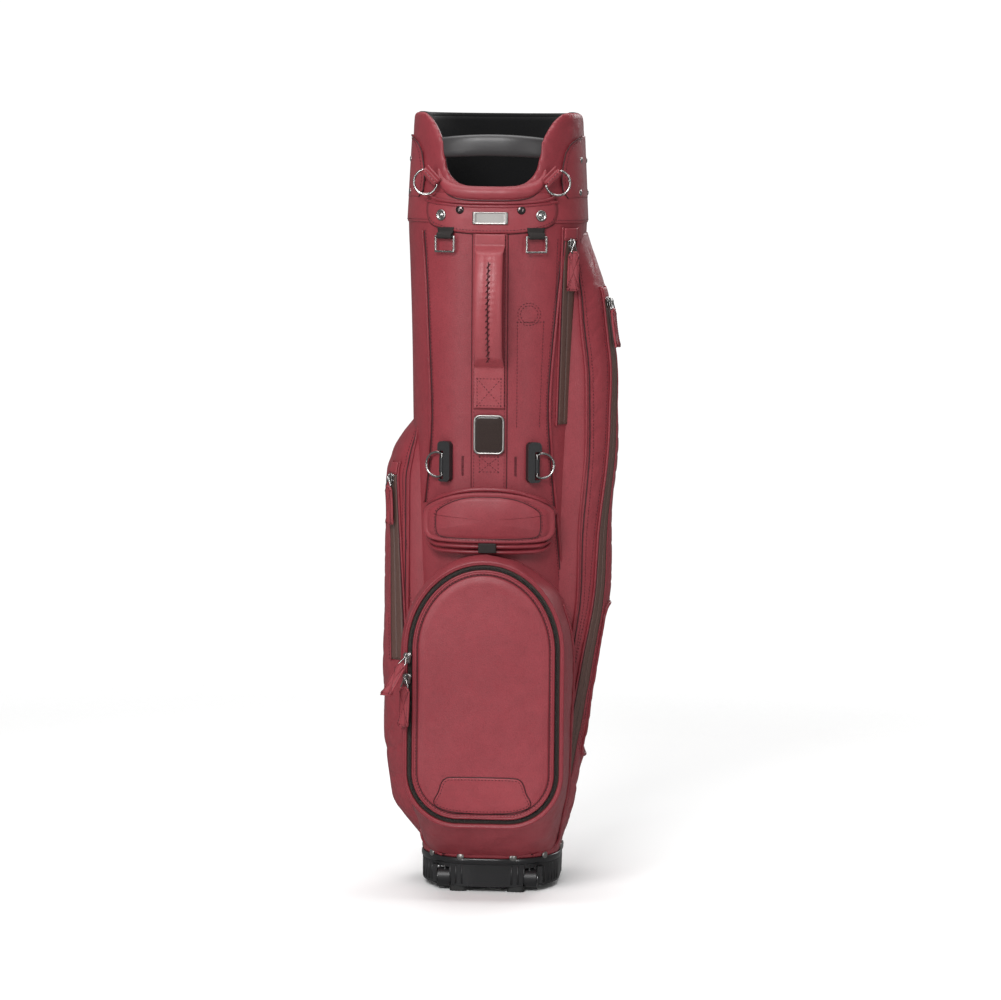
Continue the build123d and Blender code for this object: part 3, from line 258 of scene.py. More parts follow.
cover_leather = leather("cover_leather", maroon, maroon_deep, maroon_worn)
binding_leather = leather("binding_leather", (0.20, 0.024, 0.033), maroon_deep, (0.33, 0.07, 0.08), 0.36,
                          crease=0.006, relief=0.00012)
# A lighter, glossier copy of the leather for the grip: its lighter tone is partly handling wear and partly
# painted highlight.
handle_leather = leather("handle_leather", (0.29, 0.053, 0.063), maroon_deep, (0.41, 0.1, 0.11), 0.37,
                         pebble=0.0009, crease=0.009, relief=0.00014)
trim_leather = leather("trim_leather", (0.25, 0.036, 0.046), maroon_deep, (0.36, 0.08, 0.09), 0.4,
                       pebble=0.0009, crease=0.009, relief=0.00016)

# ------------------------------------------------------------------ body cover
# One tapered tube of foam-backed leather, sewn up the back, and glued and riveted to the base.
# The leather sits with slow, shallow swells between the stays and gathers a little over the pockets.
body_low, body_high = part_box("body_shell")
base_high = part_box("base_tub")[1]
body_bottom_z, body_top_z = body_low.z, body_high.z
bottom_half = (base_high.x - 0.0001, base_high.y - 0.0001)
top_half = (body_high.x, body_high.y)
bottom_round, top_round = 0.070, 0.088
rim_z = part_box("collar_roll")[1].z
rim_half, rim_round = (0.095, 0.108), 0.084
wall = 0.0026


def mix(low, high, share):
    return low + (high - low) * share


def smooth_step(low, high, value):
    share = np.clip((value - low) / (high - low), 0, 1)
    return share * share * (3 - 2 * share)


def shape_at(z):
    """Half width, half depth and corner radius of the bag's outside at height z."""
    if z <= body_top_z:
        t = (z - body_bottom_z) / (body_top_z - body_bottom_z)
        return (mix(bottom_half[0], top_half[0], t), mix(bottom_half[1], top_half[1], t),
                mix(bottom_round, top_round, t))
    t = (z - body_top_z) / (rim_z - body_top_z)
    return (mix(top_half[0], rim_half[0], t), mix(top_half[1], rim_half[1], t), mix(top_round, rim_round, t))


def swell(x, y, z):
    """How far the soft cover stands in or out at a place, in metres."""
    slow = noise.noise(Vector((x * 9, y * 9, z * 5.5 + 3))) * 0.0016
    drape = noise.noise(Vector((x * 26, y * 26, z * 7 + 9))) * 0.0007
    return (slow + drape) * float(smooth_step(0.04, 0.12, z) * (1 - smooth_step(0.73, 0.76, z)))


def front(x, z, off=0.0, back=False, soft=True):
    """A point on the bag's front (or back) at x and z, moved off the surface by off."""
    half_width, half_depth, corner = shape_at(z)
    over = max(0.0, abs(x) - (half_width - corner))
    over = min(over, corner * 0.9999)
    lean = over / corner
    y = half_depth - corner + corner * sqrt(1 - lean * lean)
    side, facing = (1 if x > 0 else -1), (1 if back else -1)
    normal = (side * lean, facing * sqrt(1 - lean * lean))
    off = off + (swell(x, facing * y, z) if soft else 0)
    return Vector((x + normal[0] * off, facing * y + normal[1] * off, z))


def ring_points(z, grow, count, soft=True):
    """Points round the bag at height z, starting at the middle of the back and going by arc length."""
    half_width, half_depth, corner = shape_at(z)
    straight_x, straight_y = half_width - corner, half_depth - corner
    corner += grow
    quarter = corner * pi / 2
    total = 4 * (straight_x + straight_y + quarter)
    points = []
    for i in range(count):
        s = total * i / count
        flip = s > total / 2
        s = total - s if flip else s
        if s < straight_x:
            x, y, nx, ny = s, straight_y + corner, 0, 1
        elif s < straight_x + quarter:
            a = (s - straight_x) / corner
            x, y, nx, ny = straight_x + corner * sin(a), straight_y + corner * cos(a), sin(a), cos(a)
        elif s < straight_x + quarter + 2 * straight_y:
            x, y, nx, ny = straight_x + corner, straight_y - (s - straight_x - quarter), 1, 0
        elif s < straight_x + 2 * quarter + 2 * straight_y:
            a = (s - straight_x - quarter - 2 * straight_y) / corner
            x, y, nx, ny = straight_x + corner * cos(a), -straight_y - corner * sin(a), cos(a), -sin(a)
        else:
            x, y = straight_x - (s - straight_x - 2 * quarter - 2 * straight_y), -straight_y - corner
            nx, ny = 0, -1
        if flip:
            x, nx = -x, -nx
        move = swell(x, y, z) if soft else 0
        points.append((x + nx * move, y + ny * move, z))
    return points


def finish_mesh(thing, inside_out=False):
    """Merges doubles and turns every face outwards."""
    shape = bmesh.new()
    shape.from_mesh(thing.data)
    bmesh.ops.remove_doubles(shape, verts=shape.verts, dist=1e-6)
    bmesh.ops.recalc_face_normals(shape, faces=shape.faces)
    if inside_out:
        bmesh.ops.reverse_faces(shape, faces=shape.faces)
    shape.to_mesh(thing.data)
    shape.free()
    thing.data.polygons.foreach_set("use_smooth", [True] * len(thing.data.polygons))
    return thing


def apply_modifiers(thing):
    """Turns the evaluated object into its own plain mesh."""
    bpy.context.view_layer.update()
    graph = bpy.context.evaluated_depsgraph_get()
    plain = bpy.data.meshes.new_from_object(thing.evaluated_get(graph))
    old = thing.data
    if thing.type == "CURVE":
        name, collection = thing.name, bpy.context.scene.collection
        bpy.data.objects.remove(thing)
        made = bpy.data.objects.new(name, plain)
        collection.objects.link(made)
        return made
    thing.modifiers.clear()
    thing.data = plain
    bpy.data.meshes.remove(old)
    return thing


def settle(thing, body, slot, *nodes):
    """The calls that end each piece: what it rides on, its slot (not used) and the CAD nodes it stands for,
    which it hides.
    """
    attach(thing, body)
    if nodes:
        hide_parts(*nodes)
    return thing


def shell(name, rows, thickness, material, ring=False, bevel=0.0, levels=0):
    """A closed sheet: rows of points on its outer face, thickened inwards."""
    thing = grid_object(name, rows, material, ring)
    finish_mesh(thing)
    wall_modifier = thing.modifiers.new("wall", "SOLIDIFY")
    wall_modifier.thickness, wall_modifier.offset = thickness, -1
    if bevel:
        round_off = thing.modifiers.new("edge", "BEVEL")
        round_off.width, round_off.segments, round_off.limit_method = bevel, 2, "ANGLE"
    if levels:
        smooth = thing.modifiers.new("smooth", "SUBSURF")
        smooth.levels = smooth.render_levels = levels
    return apply_modifiers(thing)


cover_rows = []
for z in np.arange(body_bottom_z, body_top_z + 1e-6, (body_top_z - body_bottom_z) / 230):
    tuck = -0.0012 * (1 - float(smooth_step(0, 0.006, z - body_bottom_z)))
    cover_rows.append(ring_points(float(z), tuck, 216))
body_cover = shell("body_cover", cover_rows, wall, cover_leather, ring=True)
settle(body_cover, "bag", "leather", "body_shell")

# ------------------------------------------------------------------ sewing
# Seams are lockstitched with bonded maroon thread that sinks a little into the leather. Piping is
# leather folded over a cord and caught in the seam.
thread_radius, stitch_pitch, stitch_length = 0.00044, 0.0038, 0.0027
piping_radius = 0.0017


def grained(name, colour, roughness, kind, height, output="Fac", **values):
    """A plain material raised by one fine texture, and its shader."""
    material, tree, shader = plain_material(name, colour, roughness)
    add_bump(tree, shader, texture(tree, kind, **values).outputs[output], height)
    return material, shader


thread_material, _ = grained("maroon_thread", (0.075, 0.006, 0.012), 0.55, "ShaderNodeTexWave", 0.0001,
                             Scale=900.0, Distortion=1.0)


def spline(points, count):
    """A smooth line through control points, evenly spaced: Catmull-Rom, then resampled by length."""
    points = [Vector(p) for p in points]
    if len(points) == 2:
        return [points[0].lerp(points[1], i / (count - 1)) for i in range(count)]
    ends = [2 * points[0] - points[1]] + points + [2 * points[-1] - points[-2]]
    fine = []
    for a, b, c, d in zip(ends, ends[1:], ends[2:], ends[3:]):
        for i in range(24):
            t = i / 24
            fine.append(0.5 * ((2 * b) + (c - a) * t + (2 * a - 5 * b + 4 * c - d) * t * t
                               + (3 * b - a - 3 * c + d) * t ** 3))
    fine.append(points[-1])
    return resample(fine, count)


def resample(line, count):
    """Points evenly spaced along a line."""
    lengths = [0.0]
    for a, b in zip(line, line[1:]):
        lengths.append(lengths[-1] + (b - a).length)
    made, j = [], 0
    for i in range(count):
        s = lengths[-1] * i / (count - 1)
        while j < len(line) - 2 and lengths[j + 1] < s:
            j += 1
        step = lengths[j + 1] - lengths[j]
        made.append(line[j].lerp(line[j + 1], (s - lengths[j]) / step if step > 1e-12 else 0))
    return made


def rod_along(name, line, radius, material, closed=False, sides=3):
    """A round cord swept along a line, as a plain mesh."""
    data = bpy.data.curves.new(name, "CURVE")
    data.dimensions, data.bevel_depth, data.bevel_resolution = "3D", radius, sides
    data.use_fill_caps = True
    run = data.splines.new("POLY")
    run.points.add(len(line) - 1)
    for point, place in zip(run.points, line):
        point.co = (*place, 1)
    run.use_cyclic_u = closed
    thing = bpy.data.objects.new(name, data)
    bpy.context.scene.collection.objects.link(thing)
    thing = apply_modifiers(thing)
    thing.data.materials.clear()
    thing.data.materials.append(material)
    return finish_mesh(thing)


def socket_in(tree, name, kind, default=None):
    made = tree.interface.new_socket(name, in_out="INPUT", socket_type=kind)
    if default is not None:
        made.default_value = default
    return made.identifier


def run_nodes(thing, tree, values):
    """Runs a node tree on an object with the given inputs and keeps the plain result."""
    modifier = thing.modifiers.new("repeat", "NODES")
    modifier.node_group = tree
    for identifier, value in values.items():
        modifier[identifier] = value
    return apply_modifiers(thing)


stitches = bpy.data.node_groups.new("stitches", "GeometryNodeTree")
socket_in(stitches, "Geometry", "NodeSocketGeometry")
stitch_inputs = [socket_in(stitches, "Pitch", "NodeSocketFloat", stitch_pitch),
                 socket_in(stitches, "Length", "NodeSocketFloat", stitch_length),
                 socket_in(stitches, "Thread radius", "NodeSocketFloat", thread_radius),
                 socket_in(stitches, "Thread", "NodeSocketMaterial")]
stitches.interface.new_socket("Geometry", in_out="OUTPUT", socket_type="NodeSocketGeometry")
gn_in, gn_out = node(stitches, "NodeGroupInput"), node(stitches, "NodeGroupOutput")
to_curve = node(stitches, "GeometryNodeMeshToCurve")
to_points = node(stitches, "GeometryNodeCurveToPoints", mode="LENGTH")
turn_to = node(stitches, "FunctionNodeAlignRotationToVector", axis="Z")
bead = node(stitches, "GeometryNodeMeshIcoSphere", Radius=1.0, Subdivisions=1)
bead_size = node(stitches, "ShaderNodeCombineXYZ")
half_length = node(stitches, "ShaderNodeMath", operation="MULTIPLY")
half_length.inputs[1].default_value = 0.5
place_them = node(stitches, "GeometryNodeInstanceOnPoints")
realize = node(stitches, "GeometryNodeRealizeInstances")
set_thread = node(stitches, "GeometryNodeSetMaterial")
join = stitches.links.new
join(gn_in.outputs["Geometry"], to_curve.inputs[0])
join(to_curve.outputs[0], to_points.inputs[0])
join(gn_in.outputs["Pitch"], to_points.inputs["Length"])
join(to_points.outputs["Tangent"], turn_to.inputs["Vector"])
join(gn_in.outputs["Length"], half_length.inputs[0])
join(gn_in.outputs["Thread radius"], bead_size.inputs[0])
join(gn_in.outputs["Thread radius"], bead_size.inputs[1])
join(half_length.outputs[0], bead_size.inputs[2])
join(to_points.outputs[0], place_them.inputs["Points"])
join(bead.outputs[0], place_them.inputs["Instance"])
join(turn_to.outputs[0], place_them.inputs["Rotation"])
join(bead_size.outputs[0], place_them.inputs["Scale"])
join(place_them.outputs[0], realize.inputs[0])
join(realize.outputs[0], set_thread.inputs[0])
join(gn_in.outputs["Thread"], set_thread.inputs["Material"])
join(set_thread.outputs[0], gn_out.inputs[0])


def polyline_object(name, lines):
    """Lines as a mesh of edges, for a node tree to work along."""
    points, edges = [], []
    for line in lines:
        start = len(points)
        points += [tuple(p) for p in line]
        edges += [(start + i, start + i + 1) for i in range(len(line) - 1)]
    mesh = bpy.data.meshes.new(name)
    mesh.from_pydata(points, edges, [])
    thing = bpy.data.objects.new(name, mesh)
    bpy.context.scene.collection.objects.link(thing)
    return thing


def sew(name, lines, body="bag", pitch=stitch_pitch, length=stitch_length, radius=thread_radius,
        thread=None):
    """Rows of stitches along lines."""
    thing = polyline_object(name, lines)
    values = dict(zip(stitch_inputs, (pitch, length, radius, thread or thread_material)))
    thing = run_nodes(thing, stitches, values)
    thing.data.polygons.foreach_set("use_smooth", [True] * len(thing.data.polygons))
    return settle(thing, body, "leather")


# Near-black maroon for the dark lines beside seams, in grooves and under raised edges: partly the leather's
# dyed edges, partly painted shade.
edge_dye_and_shade, _ = grained("edge_dye_and_shade", (0.040, 0.003, 0.006), 0.6, "ShaderNodeTexNoise", 0.0001,
                      Scale=500.0, Detail=2.0)


def dyed_edge_and_shade(name, line, body="bag", radius=0.0008, loop=False):
    """A dark line beside a seam: the leather's dyed edge together with painted shade in the fold."""
    return settle(rod_along(name, line, radius, edge_dye_and_shade, closed=loop), body, "leather")


def front_line(stops, off, count=120, back=False):
    """A line on the front through (x, z) stops given in millimetres."""
    flat = spline([(x * MM, 0, z * MM) for x, z in stops], count)
    return [front(p.x, p.z, off, back) for p in flat]


# ------------------------------------------------------------------ body seams
# Two piped seams run down the front corners, where the front panel meets the side panels; the
# front panel also carries a stitched tunnel, a round stitched eyelet patch and two short bar tacks.
left_seam = [(-79, 757), (-73, 665), (-68, 566), (-70, 505), (-76, 447)]
right_seam = [(83, 757), (74, 665), (67, 572), (69, 510), (74, 448), (82, 350), (86, 270)]
seam_inset = 3.6
for side_name, stops in (("left", left_seam), ("right", right_seam)):
    welt = rod_along(f"{side_name}_seam_piping", front_line(stops, 0.0009, 160), piping_radius,
                     binding_leather)
    settle(welt, "bag", "leather")
    sign = 1 if side_name == "left" else -1
    # A dark line in the fold beside the piping: painted shade, with the dyed edge.
    dyed_edge_and_shade(f"{side_name}_seam_fold", front_line([(x + sign * 1.9, z) for x, z in stops], 0.0001, 160))
    inside = [(x + sign * seam_inset, z) for x, z in stops]
    sew(f"{side_name}_seam_stitches", [front_line(inside, 0.0002, 160)])
tunnel = [(31, 655), (31, 537)], [(60, 655), (58, 600), (56, 537)], [(31, 655), (60, 655)]
eyelet = [[front((44 + r * cos(a)) * MM, (664 + r * sin(a)) * MM, 0.0002)
           for a in np.linspace(0, 2 * pi, 60)] for r in (12.6, 9.6)]
tacks = [[(x + dx, 502), (x + dx, 481)] for x in (-30, 30) for dx in (-0.9, 0.0, 0.9)]
sew("front_panel_stitches", [front_line(line, 0.0002, 60) for line in tunnel] + eyelet)
sew("bar_tacks", [front_line(line, 0.0003, 20) for line in tacks], pitch=0.0016, length=0.0014,
    radius=0.0005)

# ------------------------------------------------------------------ spine strip
# A second strip of leather down the middle of the front, turned in at its edges and stitched
# twice; it carries the handle, the badge and, under the badge, a stitched cross.
spine_low, spine_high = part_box("spine_strip")
spine_half = spine_high.x
spine_stand = 0.0013


def rounded(centre_x, centre_z, half_width, half_height, corner, per_corner=6, per_side=6):
    """The outline of a rounded rectangle, anticlockwise, as (x, z) points."""
    points = []
    for cx, cz, start in ((1, 1, 0), (-1, 1, 90), (-1, -1, 180), (1, -1, 270)):
        for i in range(per_corner + 1):
            a = radians(start + 90 * i / per_corner)
            points.append((centre_x + cx * (half_width - corner) + corner * cos(a),
                           centre_z + cz * (half_height - corner) + corner * sin(a)))
    full = []
    for a, b in zip(points, points[1:] + points[:1]):
        gap = hypot(b[0] - a[0], b[1] - a[1])
        steps = max(1, ceil(gap / (2 * min(half_width, half_height) / per_side)))
        full += [(mix(a[0], b[0], i / steps), mix(a[1], b[1], i / steps)) for i in range(steps)]
    return full


def patch(name, outline, place, rise, material, rings=10, thickness=0.0012):
    """A closed pad: rings of an outline shrinking to its middle, set by place(x, z, off)."""
    outline = np.array(outline)
    centre = outline.mean(axis=0)
    points, faces, count = [], [], len(outline)
    for level in (1, 0):
        for ring in range(rings):
            share = 1 - ring / rings
            for x, z in centre + (outline - centre) * share:
                points.append(place(x, z, rise(share) if level else -thickness))
        points.append(place(centre[0], centre[1], rise(0.0) if level else -thickness))
    half = rings * count + 1
    for level in (0, 1):
        base = level * half
        for ring in range(rings - 1):
            for j in range(count):
                a, b = base + ring * count + j, base + ring * count + (j + 1) % count
                faces.append((a, b, b + count, a + count) if level == 0 else (b, a, a + count, b + count))
        for j in range(count):
            a, b = base + (rings - 1) * count + j, base + (rings - 1) * count + (j + 1) % count
            faces.append((a, b, base + half - 1) if level == 0 else (b, a, base + half - 1))
    for j in range(count):
        faces.append((j, half + j, half + (j + 1) % count, (j + 1) % count))
    return finish_mesh(mesh_object(name, points, faces, material))


strip_rows = []
for z in np.linspace(spine_low.z, spine_high.z + 0.002, 130):
    row = []
    for x in np.linspace(-1, 1, 29):
        edge = float(smooth_step(0.9, 1.0, abs(x)))
        row.append(front(x * spine_half, float(z), spine_stand * (1 - 0.6 * edge)))
    strip_rows.append(row)
spine_strip = shell("spine_leather", strip_rows, spine_stand + 0.0004, cover_leather)
settle(spine_strip, "bag", "leather", "spine_strip")
strip_stitches = [front_line([(x, spine_low.z / MM + 2), (x, spine_high.z / MM)], spine_stand + 0.0001, 160)
                  for x in (-17.2, 17.2)]
sew("spine_stitches", strip_stitches)
for side in (-1, 1):
    edge_x = side * (spine_half / MM + 0.2)
    edge = [(edge_x, spine_low.z / MM), (edge_x, spine_high.z / MM)]
    # A dark line along each edge of the raised strip: painted shade beside the edge, with the dyed edge.
    dyed_edge_and_shade(f"spine_edge_{'right' if side > 0 else 'left'}", front_line(edge, 0.0002, 120), radius=0.0005)


def crossed_box(low_x, high_x, low_z, high_z):
    """A stitched box with a cross in it."""
    a, b, c, d = (low_x, low_z), (high_x, low_z), (high_x, high_z), (low_x, high_z)
    return [[a, b], [b, c], [c, d], [d, a], [a, c], [b, d]]


badge_low, badge_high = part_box("badge_frame")
cross_top = badge_low.z / MM - 3
sew("spine_cross_stitches", [front_line(line, spine_stand + 0.0001, 24)
                             for line in crossed_box(-10.5, 10.5, cross_top - 17, cross_top)])

# ------------------------------------------------------------------ carry handle
# A padded leather grip sewn into a tube, its two edges drawn together down the middle by a raised
# hand-laced seam, and flattened at both ends where it is stitched down to the spine.
handle_low, handle_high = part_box("carry_handle")
grip_half, grip_thick, end_thick = 0.0165, 0.0120, 0.003
grip_bow = 0.0225
grip_low = handle_low.z + 0.046
grip_high = handle_high.z - 0.013
lacing_pitch = 0.0066


def handle_centre(z):
    """The handle's mid-line: y at height z, and how full the padding is there."""
    share = np.clip((z - grip_low) / (grip_high - grip_low), 0, 1)
    lift = grip_bow * float(sin(pi * share) ** 0.62)
    full = float(smooth_step(0, 0.09, share) * (1 - smooth_step(0.93, 1, share)))
    seat = -front(0, z, 0.0026, soft=False).y
    return -(seat + lift + mix(end_thick, grip_thick, full) / 2), full


def handle_ring(z, count=40):
    y_mid, full = handle_centre(z)
    half_w = grip_half * mix(1.03, 0.97, full)
    half_t = mix(end_thick, grip_thick, full) / 2
    power = mix(7.0, 2.7, full)
    ring = []
    for i in range(count):
        a = 2 * pi * i / count
        c, s = cos(a), sin(a)
        x = half_w * (abs(c) ** (2 / power)) * (1 if c > 0 else -1)
        y = half_t * (abs(s) ** (2 / power)) * (1 if s > 0 else -1)
        seam = full * 0.0024 * float(np.exp(-(x / 0.0026) ** 2)) * (1 if y < 0 else 0)
        pucker = full * 0.00016 * cos(2 * pi * z / lacing_pitch) * float(np.exp(-(x / 0.008) ** 2))
        ring.append((x, y_mid + y + (seam + pucker) * (1 if y < 0 else 0), z))
    return ring


def close_ends(thing, count):
    """Caps a tube made of rings of count points."""
    shape = bmesh.new()
    shape.from_mesh(thing.data)
    shape.verts.ensure_lookup_table()
    for start in (0, len(shape.verts) - count):
        shape.faces.new([shape.verts[start + i] for i in range(count)])
    shape.to_mesh(thing.data)
    shape.free()
    return finish_mesh(thing)


handle_rows = [handle_ring(float(z)) for z in np.linspace(handle_low.z, handle_high.z, 190)]
handle = grid_object("carry_handle_leather", handle_rows, handle_leather, ring=True)
close_ends(handle, len(handle_rows[0]))
settle(handle, "bag", "leather", "carry_handle")
lacing, reach_x = [], 0.0026
crossings = int((grip_high - grip_low - 0.02) / lacing_pitch)
for i in range(crossings):
    z = grip_low + 0.01 + i * lacing_pitch
    y = handle_centre(z)[0] - grip_thick / 2 + 0.0006
    step = lacing_pitch * 0.5
    lacing.append([Vector((-reach_x * 0.7, y, z - step)), Vector((reach_x * 0.7, y, z + step * 0.5))])
    lacing.append([Vector((0, y + 0.0003, z - step)), Vector((0, y + 0.0003, z + step))])
lacing_thread, _ = grained("waxed_lacing", (0.045, 0.004, 0.008), 0.45, "ShaderNodeTexWave", 0.00012,
                           Scale=700.0, Distortion=0.5)
sew("handle_lacing", lacing, pitch=0.0012, length=0.0018, radius=0.0006, thread=lacing_thread)
tail = handle_low.z / MM
handle_boxes = crossed_box(-13.5, 13.5, tail + 2.5, tail + 33)


def on_tail(x, z):
    return Vector((x * MM, handle_centre(z * MM)[0] - end_thick / 2, z * MM))


sew("handle_box_stitches", [[on_tail(mix(a[0], b[0], t), mix(a[1], b[1], t)) for t in np.linspace(0, 1, 24)]
                            for a, b in handle_boxes])

# ------------------------------------------------------------------ badge
# A plated frame with rounded corners, pressed over a smooth dark enamel plate.
badge_half = (badge_high.x - badge_low.x) / 2, (badge_high.z - badge_low.z) / 2
badge_z = (badge_high.z + badge_low.z) / 2


def plated(name, colour, roughness, polished, worn, scale, detail):
    """Plated metal whose roughness wanders between polished and worn."""
    material, tree, shader = plain_material(name, colour, roughness)
    shader.inputs["Metallic"].default_value = 1.0
    wear = texture(tree, "ShaderNodeTexNoise", Scale=scale, Detail=detail)
    tree.links.new(ramp(tree, wear.outputs["Fac"], [(0.35, (polished,) * 3), (0.7, (worn,) * 3)]),
                   shader.inputs["Roughness"])
    return material


metal = plated("bright_plate", (0.40, 0.385, 0.37), 0.36, 0.36, 0.40, 40.0, 1.0)
enamel, enamel_tree, enamel_shader = plain_material("dark_enamel", (0.028, 0.016, 0.013), 0.22)
enamel_shader.inputs["Coat Weight"].default_value = 0.5
cloud = texture(enamel_tree, "ShaderNodeTexNoise", Scale=260.0, Detail=2.0)
enamel_tones = [(0.3, (0.024, 0.014, 0.012)), (0.7, (0.028, 0.017, 0.014))]
enamel_tree.links.new(ramp(enamel_tree, cloud.outputs["Fac"], enamel_tones),
                      enamel_shader.inputs["Base Color"])


def flat_place(y):
    return lambda x, z, off: (x, y - off, z)


enamel_plate = patch("badge_enamel", rounded(0, badge_z, badge_half[0] - 0.0017, badge_half[1] - 0.0017, 0.005),
                     flat_place(badge_low.y + 0.0015), lambda share: 0.0006 * (1 - share ** 4), enamel,
                     thickness=0.0012)
settle(enamel_plate, "bag", "badge_enamel", "badge_plate")
frame_line = [Vector((x, (badge_low.y + badge_high.y) / 2 - 0.0006, z)) for x, z in
              rounded(0, badge_z, badge_half[0] - 0.0012, badge_half[1] - 0.0012, 0.006, 8)]
badge_ring = rod_along("badge_ring", frame_line, 0.0013, metal, closed=True, sides=4)
settle(badge_ring, "bag", "bright_metal", "badge_frame")

# ------------------------------------------------------------------ collar
# Soft foam wrapped in the body leather, about 13 mm thick, rolled over at the rim and along the
# low front lip, where it stands proud as a round bolster above a double line of piping.
notch_side = [(0, 808), (26, 808.5), (38, 812), (46.5, 820), (51.5, 831), (53.5, 846), (56, 860), (63, 874),
              (72, 886), (79, 893), (84, 930)]
foam_thickness = 0.0125
lip_low = 0.7935
collar_voxel = 0.0031


def ring_solid(name, low, high, grow_in, grow_out, count=180, levels=14):
    """A closed ring between two offsets of the bag's outside."""
    outer = [ring_points(float(z), grow_out, count, False) for z in np.linspace(low, high, levels)]
    inner = [ring_points(float(z), grow_in, count, False) for z in np.linspace(high, low, levels)]
    rows = outer + inner
    return finish_mesh(grid_object(name, rows + [outer[0]], None, ring=True))


def prism(name, outline, near_y, far_y):
    """An (x, z) outline carried from near_y to far_y."""
    count = len(outline)
    points = [(x, near_y, z) for x, z in outline] + [(x, far_y, z) for x, z in outline]
    faces = [tuple(range(count)), tuple(range(2 * count - 1, count - 1, -1))]
    faces += [(j, count + j, count + (j + 1) % count, (j + 1) % count) for j in range(count)]
    return finish_mesh(mesh_object(name, points, faces, smooth=False))


def combine(thing, cutter, operation="DIFFERENCE"):
    cut = thing.modifiers.new("cut", "BOOLEAN")
    cut.object, cut.operation, cut.solver = cutter, operation, "EXACT"
    thing = apply_modifiers(thing)
    bpy.data.objects.remove(cutter)
    return thing


def both_sides(half_line):
    """A line drawn on the right half, with its mirror image, from left to right."""
    return [(-x, z) for x, z in reversed(half_line) if x > 0] + list(half_line)


def round_over(thing, voxel, rounds):
    """Turns a hard-edged solid into a soft one."""
    remesh = thing.modifiers.new("even", "REMESH")
    remesh.mode, remesh.voxel_size = "VOXEL", voxel
    relax = thing.modifiers.new("soft", "SMOOTH")
    relax.factor, relax.iterations = 0.6, rounds
    return apply_modifiers(thing)


notch_curve = [(p.x, p.z) for p in spline([(x * MM, 0, z * MM) for x, z in notch_side], 40)]
collar = ring_solid("collar_padding", body_top_z + 0.0006, rim_z, -foam_thickness, 0)
collar = combine(collar, prism("notch", both_sides(notch_curve), -0.3, -0.02))
collar = round_over(collar, collar_voxel, 7)
for vertex in collar.data.vertices:
    x, y, z = vertex.co
    if y < -0.04:
        across = 1 - float(smooth_step(0.04, 0.062, abs(x)))
        roll = float(np.exp(-(((z - 0.8005) / 0.0068) ** 2)))
        crease = float(np.exp(-(((z - lip_low + 0.001) / 0.0022) ** 2)))
        vertex.co.y -= across * (0.0038 * roll - 0.0028 * crease)
    grain = Vector((x * 30, y * 30, z * 45))
    outwards = Vector((x, y * 0.8, 0)).normalized()
    vertex.co += outwards * (0.0009 * noise.noise(grain) + 0.0005 * noise.noise(grain * 2.3))
soften = collar.modifiers.new("fine", "SUBSURF")
soften.levels = soften.render_levels = 1
collar = apply_modifiers(collar)
collar.data.materials.append(cover_leather)
finish_mesh(collar)
settle(collar, "bag", "collar_leather", "collar_roll")
lip_stops = both_sides([(0, 799.8), (30, 800.8), (46, 805), (56, 813.5), (61, 826)])
lip_radius, lip_sides = 0.0078, 20
lip_rows = []
for p in spline([(x * MM, 0, z * MM) for x, z in lip_stops], 110):
    share = min(1.0, (0.061 - abs(p.x)) / 0.016)
    radius = lip_radius * (0.35 + 0.65 * sqrt(max(0.0, share)))
    radius += 0.0004 * noise.noise(Vector((p.x * 60, 1, 2)))
    slope = smooth_step(0.034, 0.060, abs(p.x)) * (1 if p.x > 0 else -1)
    up = Vector((-0.75 * float(slope), 0, 1)).normalized()
    middle = front(p.x, p.z, -0.0014, soft=False)
    out = (front(p.x, p.z, 0.01, soft=False) - front(p.x, p.z, 0, soft=False)).normalized()
    lip_rows.append([middle + up * radius * cos(a) + out * radius * sin(a) * 0.92
                     for a in (2 * pi * i / lip_sides for i in range(lip_sides))])
lip_roll = finish_mesh(grid_object("lip_roll", lip_rows, trim_leather, ring=True))
settle(lip_roll, "bag", "collar_leather")
# A dark line in the crease under the lip roll: painted shade, with the dyed edge of the fold.
lip_fold = [(x, z - 8.3 if abs(x) < 50 else z - 7) for x, z in lip_stops[1:-1]]
dyed_edge_and_shade("lip_fold", front_line(lip_fold, 0.0014, 120), radius=0.0008)
for row, height in enumerate((0.7890, 0.7852)):
    middle = height / MM
    stops = both_sides([(0, middle), (30, middle + 0.4), (58, middle + 3), (72, middle + 8.5 - row * 3)])
    lip_piping = rod_along(f"lip_piping_{row + 1}", front_line(stops, 0.0028, 120), 0.0018, binding_leather)
    settle(lip_piping, "bag", "leather")

# ------------------------------------------------------------------ collar band
# A wide leather strap round the sides and back of the collar. Its front corners sweep up into
# rounded ears; the edge is turned, stitched, and held by small rivets.
band_lower, band_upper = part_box("outer_band")
ear_edge = [(99, 866), (93, 862), (86, 856), (81, 846), (78.5, 832), (77, 816), (79, 802), (84, 795)]
band_stand, band_thick = 0.0016, 0.0019


def round_index(x, y, ring):
    """The place on a ring of points nearest to (x, y)."""
    return int(np.argmin([(p[0] - x) ** 2 + (p[1] - y) ** 2 for p in ring]))


def band_front_x(z):
    """How far round to the front the strap reaches at a height: the x of its edge."""
    heights = [stop[1] * MM for stop in reversed(ear_edge)]
    places = [stop[0] * MM for stop in reversed(ear_edge)]
    return float(np.interp(z, heights, places))


